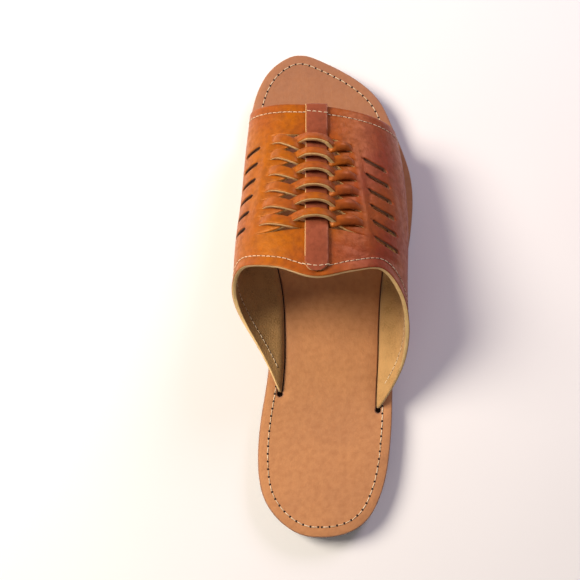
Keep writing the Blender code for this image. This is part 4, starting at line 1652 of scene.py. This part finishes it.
@dataclass
class Stitching:
    """All the sandal's rows of sewing: both hems, seen on both sides of the leather, and the sole's."""

    last: Last
    vamp: Vamp
    strap: CentreStrap
    hem: float = 0.0056
    hem_points: int = 401
    hem_end: float = 0.975
    # The climb onto the centre strap: where it starts beside the strap, and its length
    climb_start: float = 0.0004
    climb: float = 0.0008
    sole_inset: float = 0.0058
    sole_points: int = 400
    sole_pitch: float = 0.0044
    sole_length: float = 0.0033
    sole_thread: float = 0.00028
    sole_hole: float = 0.00070

    def hem_path(self, front: bool) -> tuple[np.ndarray, np.ndarray]:
        """Shares and along values of a row of sewing beside an edge of the vamp.

        Args:
            front: beside the front edge rather than the rear one.

        Returns:
            Shares and along values of its points.
        """
        share = np.linspace(-1, 1, self.hem_points)
        edge = self.last.front_edge(share) if front else self.last.rear_edge(share)
        place = np.stack((share * self.last.side_length(share, edge), edge * self.last.sole_length), axis=1)
        tangent = unit(np.gradient(place, axis=0))
        inwards = np.stack((tangent[:, 1], -tangent[:, 0]), axis=1) * (1 if front else -1)
        moved = place + inwards * self.hem
        along = moved[:, 1] / self.last.sole_length
        found = moved[:, 0] / self.last.side_length(moved[:, 0], along)
        keep = np.abs(found) < self.hem_end
        return found[keep], along[keep]

    def hem_seam(self, name: str, front: bool, inside: bool) -> Seam:
        """One hem's row on the grain side, or on the flesh side.

        Args:
            name: the row's name.
            front: the front hem rather than the rear one.
            inside: the flesh side rather than the grain side.

        Returns:
            The seam.
        """
        share, along = self.hem_path(front)
        point, normal = self.last.skin(share, along), self.last.normal(share, along)
        if inside:
            return Seam(name, point - normal * self.vamp.wall, -normal)
        offset = np.abs(share) * self.last.side_length(share, along)
        on_strap = ease((self.strap.width / 2 + self.climb_start - offset) / self.climb)
        lift = on_strap * self.strap.top_lift(along)
        return Seam(name, point + normal * lift[:, None], normal)

    def build(self, wardrobe: Wardrobe) -> None:
        """Make every row.

        Args:
            wardrobe: the finishes.
        """
        for ending, inside in (("", False), ("_inside", True)):
            for name, front in (("front_hem", True), ("rear_hem", False)):
                self.hem_seam(name + ending, front, inside).build(wardrobe, "upper_leather")
        loop = spaced(inset(self.last.sole_loop(self.sole_points), self.sole_inset), self.sole_points)
        top = self.last.insole_top(self.last.along_of(loop[:, 1]))
        path = np.column_stack((loop, top))
        up = np.tile((0.0, 0.0, 1.0), (len(path), 1))
        Seam("sole", path, up, closed=True, pitch=self.sole_pitch, length=self.sole_length,
             thread=self.sole_thread, hole=self.sole_hole).build(wardrobe, "insole_leather")


# The studio

@dataclass
class Studio:
    """Pale floor, soft light from the left and the camera at the photograph's angle."""

    focal_px: float = 800.0
    frame_px: float = 580.0
    centre_row_px: float = 285.0
    place: tuple = (-0.0206, 0.0175, 0.4900)
    tilt: float = math.radians(10.76)
    yaw: float = math.radians(-0.60)
    sensor_mm: float = 36.0
    near_clip: float = 0.01
    floor_half: float = 2.0
    aim: tuple = (0.0, 0.11, 0.02)
    # Lamps: name, place, diameter, power, colour
    lamps: tuple = (
        ("key", (-0.90, 0.42, 0.77), 0.60, 22.0, "#FFF4E6"),
        ("fill", (0.60, 1.00, 0.66), 0.50, 7.0, "#F2DFF8"),
        ("heel_fill", (-0.45, -1.10, 0.60), 0.80, 2.0, "#FFF6EC"),
    )
    sky_colour: str = "#F3EFF6"
    sky_strength: float = 0.15

    def camera(self) -> None:
        """Set up the camera."""
        lens = bpy.data.cameras.new("camera")
        lens.sensor_width = self.sensor_mm
        lens.lens = lens.sensor_width * self.focal_px / self.frame_px
        lens.shift_y = (self.centre_row_px - self.frame_px / 2) / self.frame_px
        lens.clip_start = self.near_clip
        item = bpy.data.objects.new("camera", lens)
        right = Vector((math.cos(self.yaw), -math.sin(self.yaw), 0.0))
        ahead = Vector((math.sin(self.yaw) * math.sin(self.tilt), math.cos(self.yaw) * math.sin(self.tilt),
                        -math.cos(self.tilt)))
        up = right.cross(ahead)
        turn = Matrix((right, up, -ahead)).transposed()
        item.matrix_world = Matrix.Translation(self.place) @ turn.to_4x4()
        bpy.context.scene.collection.objects.link(item)
        bpy.context.scene.camera = item

    def lamp(self, name: str, place: tuple, size: float, power: float, colour: str) -> None:
        """Add one soft area light that points at the sandal.

        Args:
            name: the lamp's name.
            place: where it stands, in metres.
            size: diameter in metres.
            power: power in watts.
            colour: sRGB hex code.
        """
        light = bpy.data.lights.new(name, "AREA")
        light.shape = "DISK"
        light.size = size
        light.energy = power
        light.color = srgb(colour)[:3]
        item = bpy.data.objects.new(name, light)
        aim = Vector(self.aim) - Vector(place)
        item.rotation_euler = aim.to_track_quat("-Z", "Y").to_euler()
        item.location = place
        bpy.context.scene.collection.objects.link(item)

    def build(self, wardrobe: Wardrobe) -> None:
        """Make the floor, the lights and the camera.

        Args:
            wardrobe: the finishes.
        """
        s = self.floor_half
        floor = link_mesh("floor", np.array([(-s, -s, 0), (s, -s, 0), (s, s, 0), (-s, s, 0)], float),
                          [(0, 1, 2, 3)], [wardrobe.floor], [0])
        for lamp in self.lamps:
            self.lamp(*lamp)
        world = bpy.data.worlds.new("studio")
        world.use_nodes = True
        sky = world.node_tree.nodes["Background"]
        sky.inputs["Color"].default_value = srgb(self.sky_colour)
        sky.inputs["Strength"].default_value = self.sky_strength
        bpy.context.scene.world = world
        bpy.context.scene.view_settings.view_transform = "Standard"
        self.camera()


def main() -> None:
    """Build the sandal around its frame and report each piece."""
    logging.basicConfig(level=logging.INFO, format="%(name)s %(message)s")
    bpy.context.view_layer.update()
    last = Last()
    wardrobe = Wardrobe()
    vamp = Vamp(last)
    strap = CentreStrap(last, vamp)
    Outsole(last).build(wardrobe)
    Insole(last).build(wardrobe)
    vamp.build(wardrobe)
    strap.build(wardrobe)
    Stitching(last, vamp, strap).build(wardrobe)
    Studio().build(wardrobe)


if __name__ == "__main__":
    main()
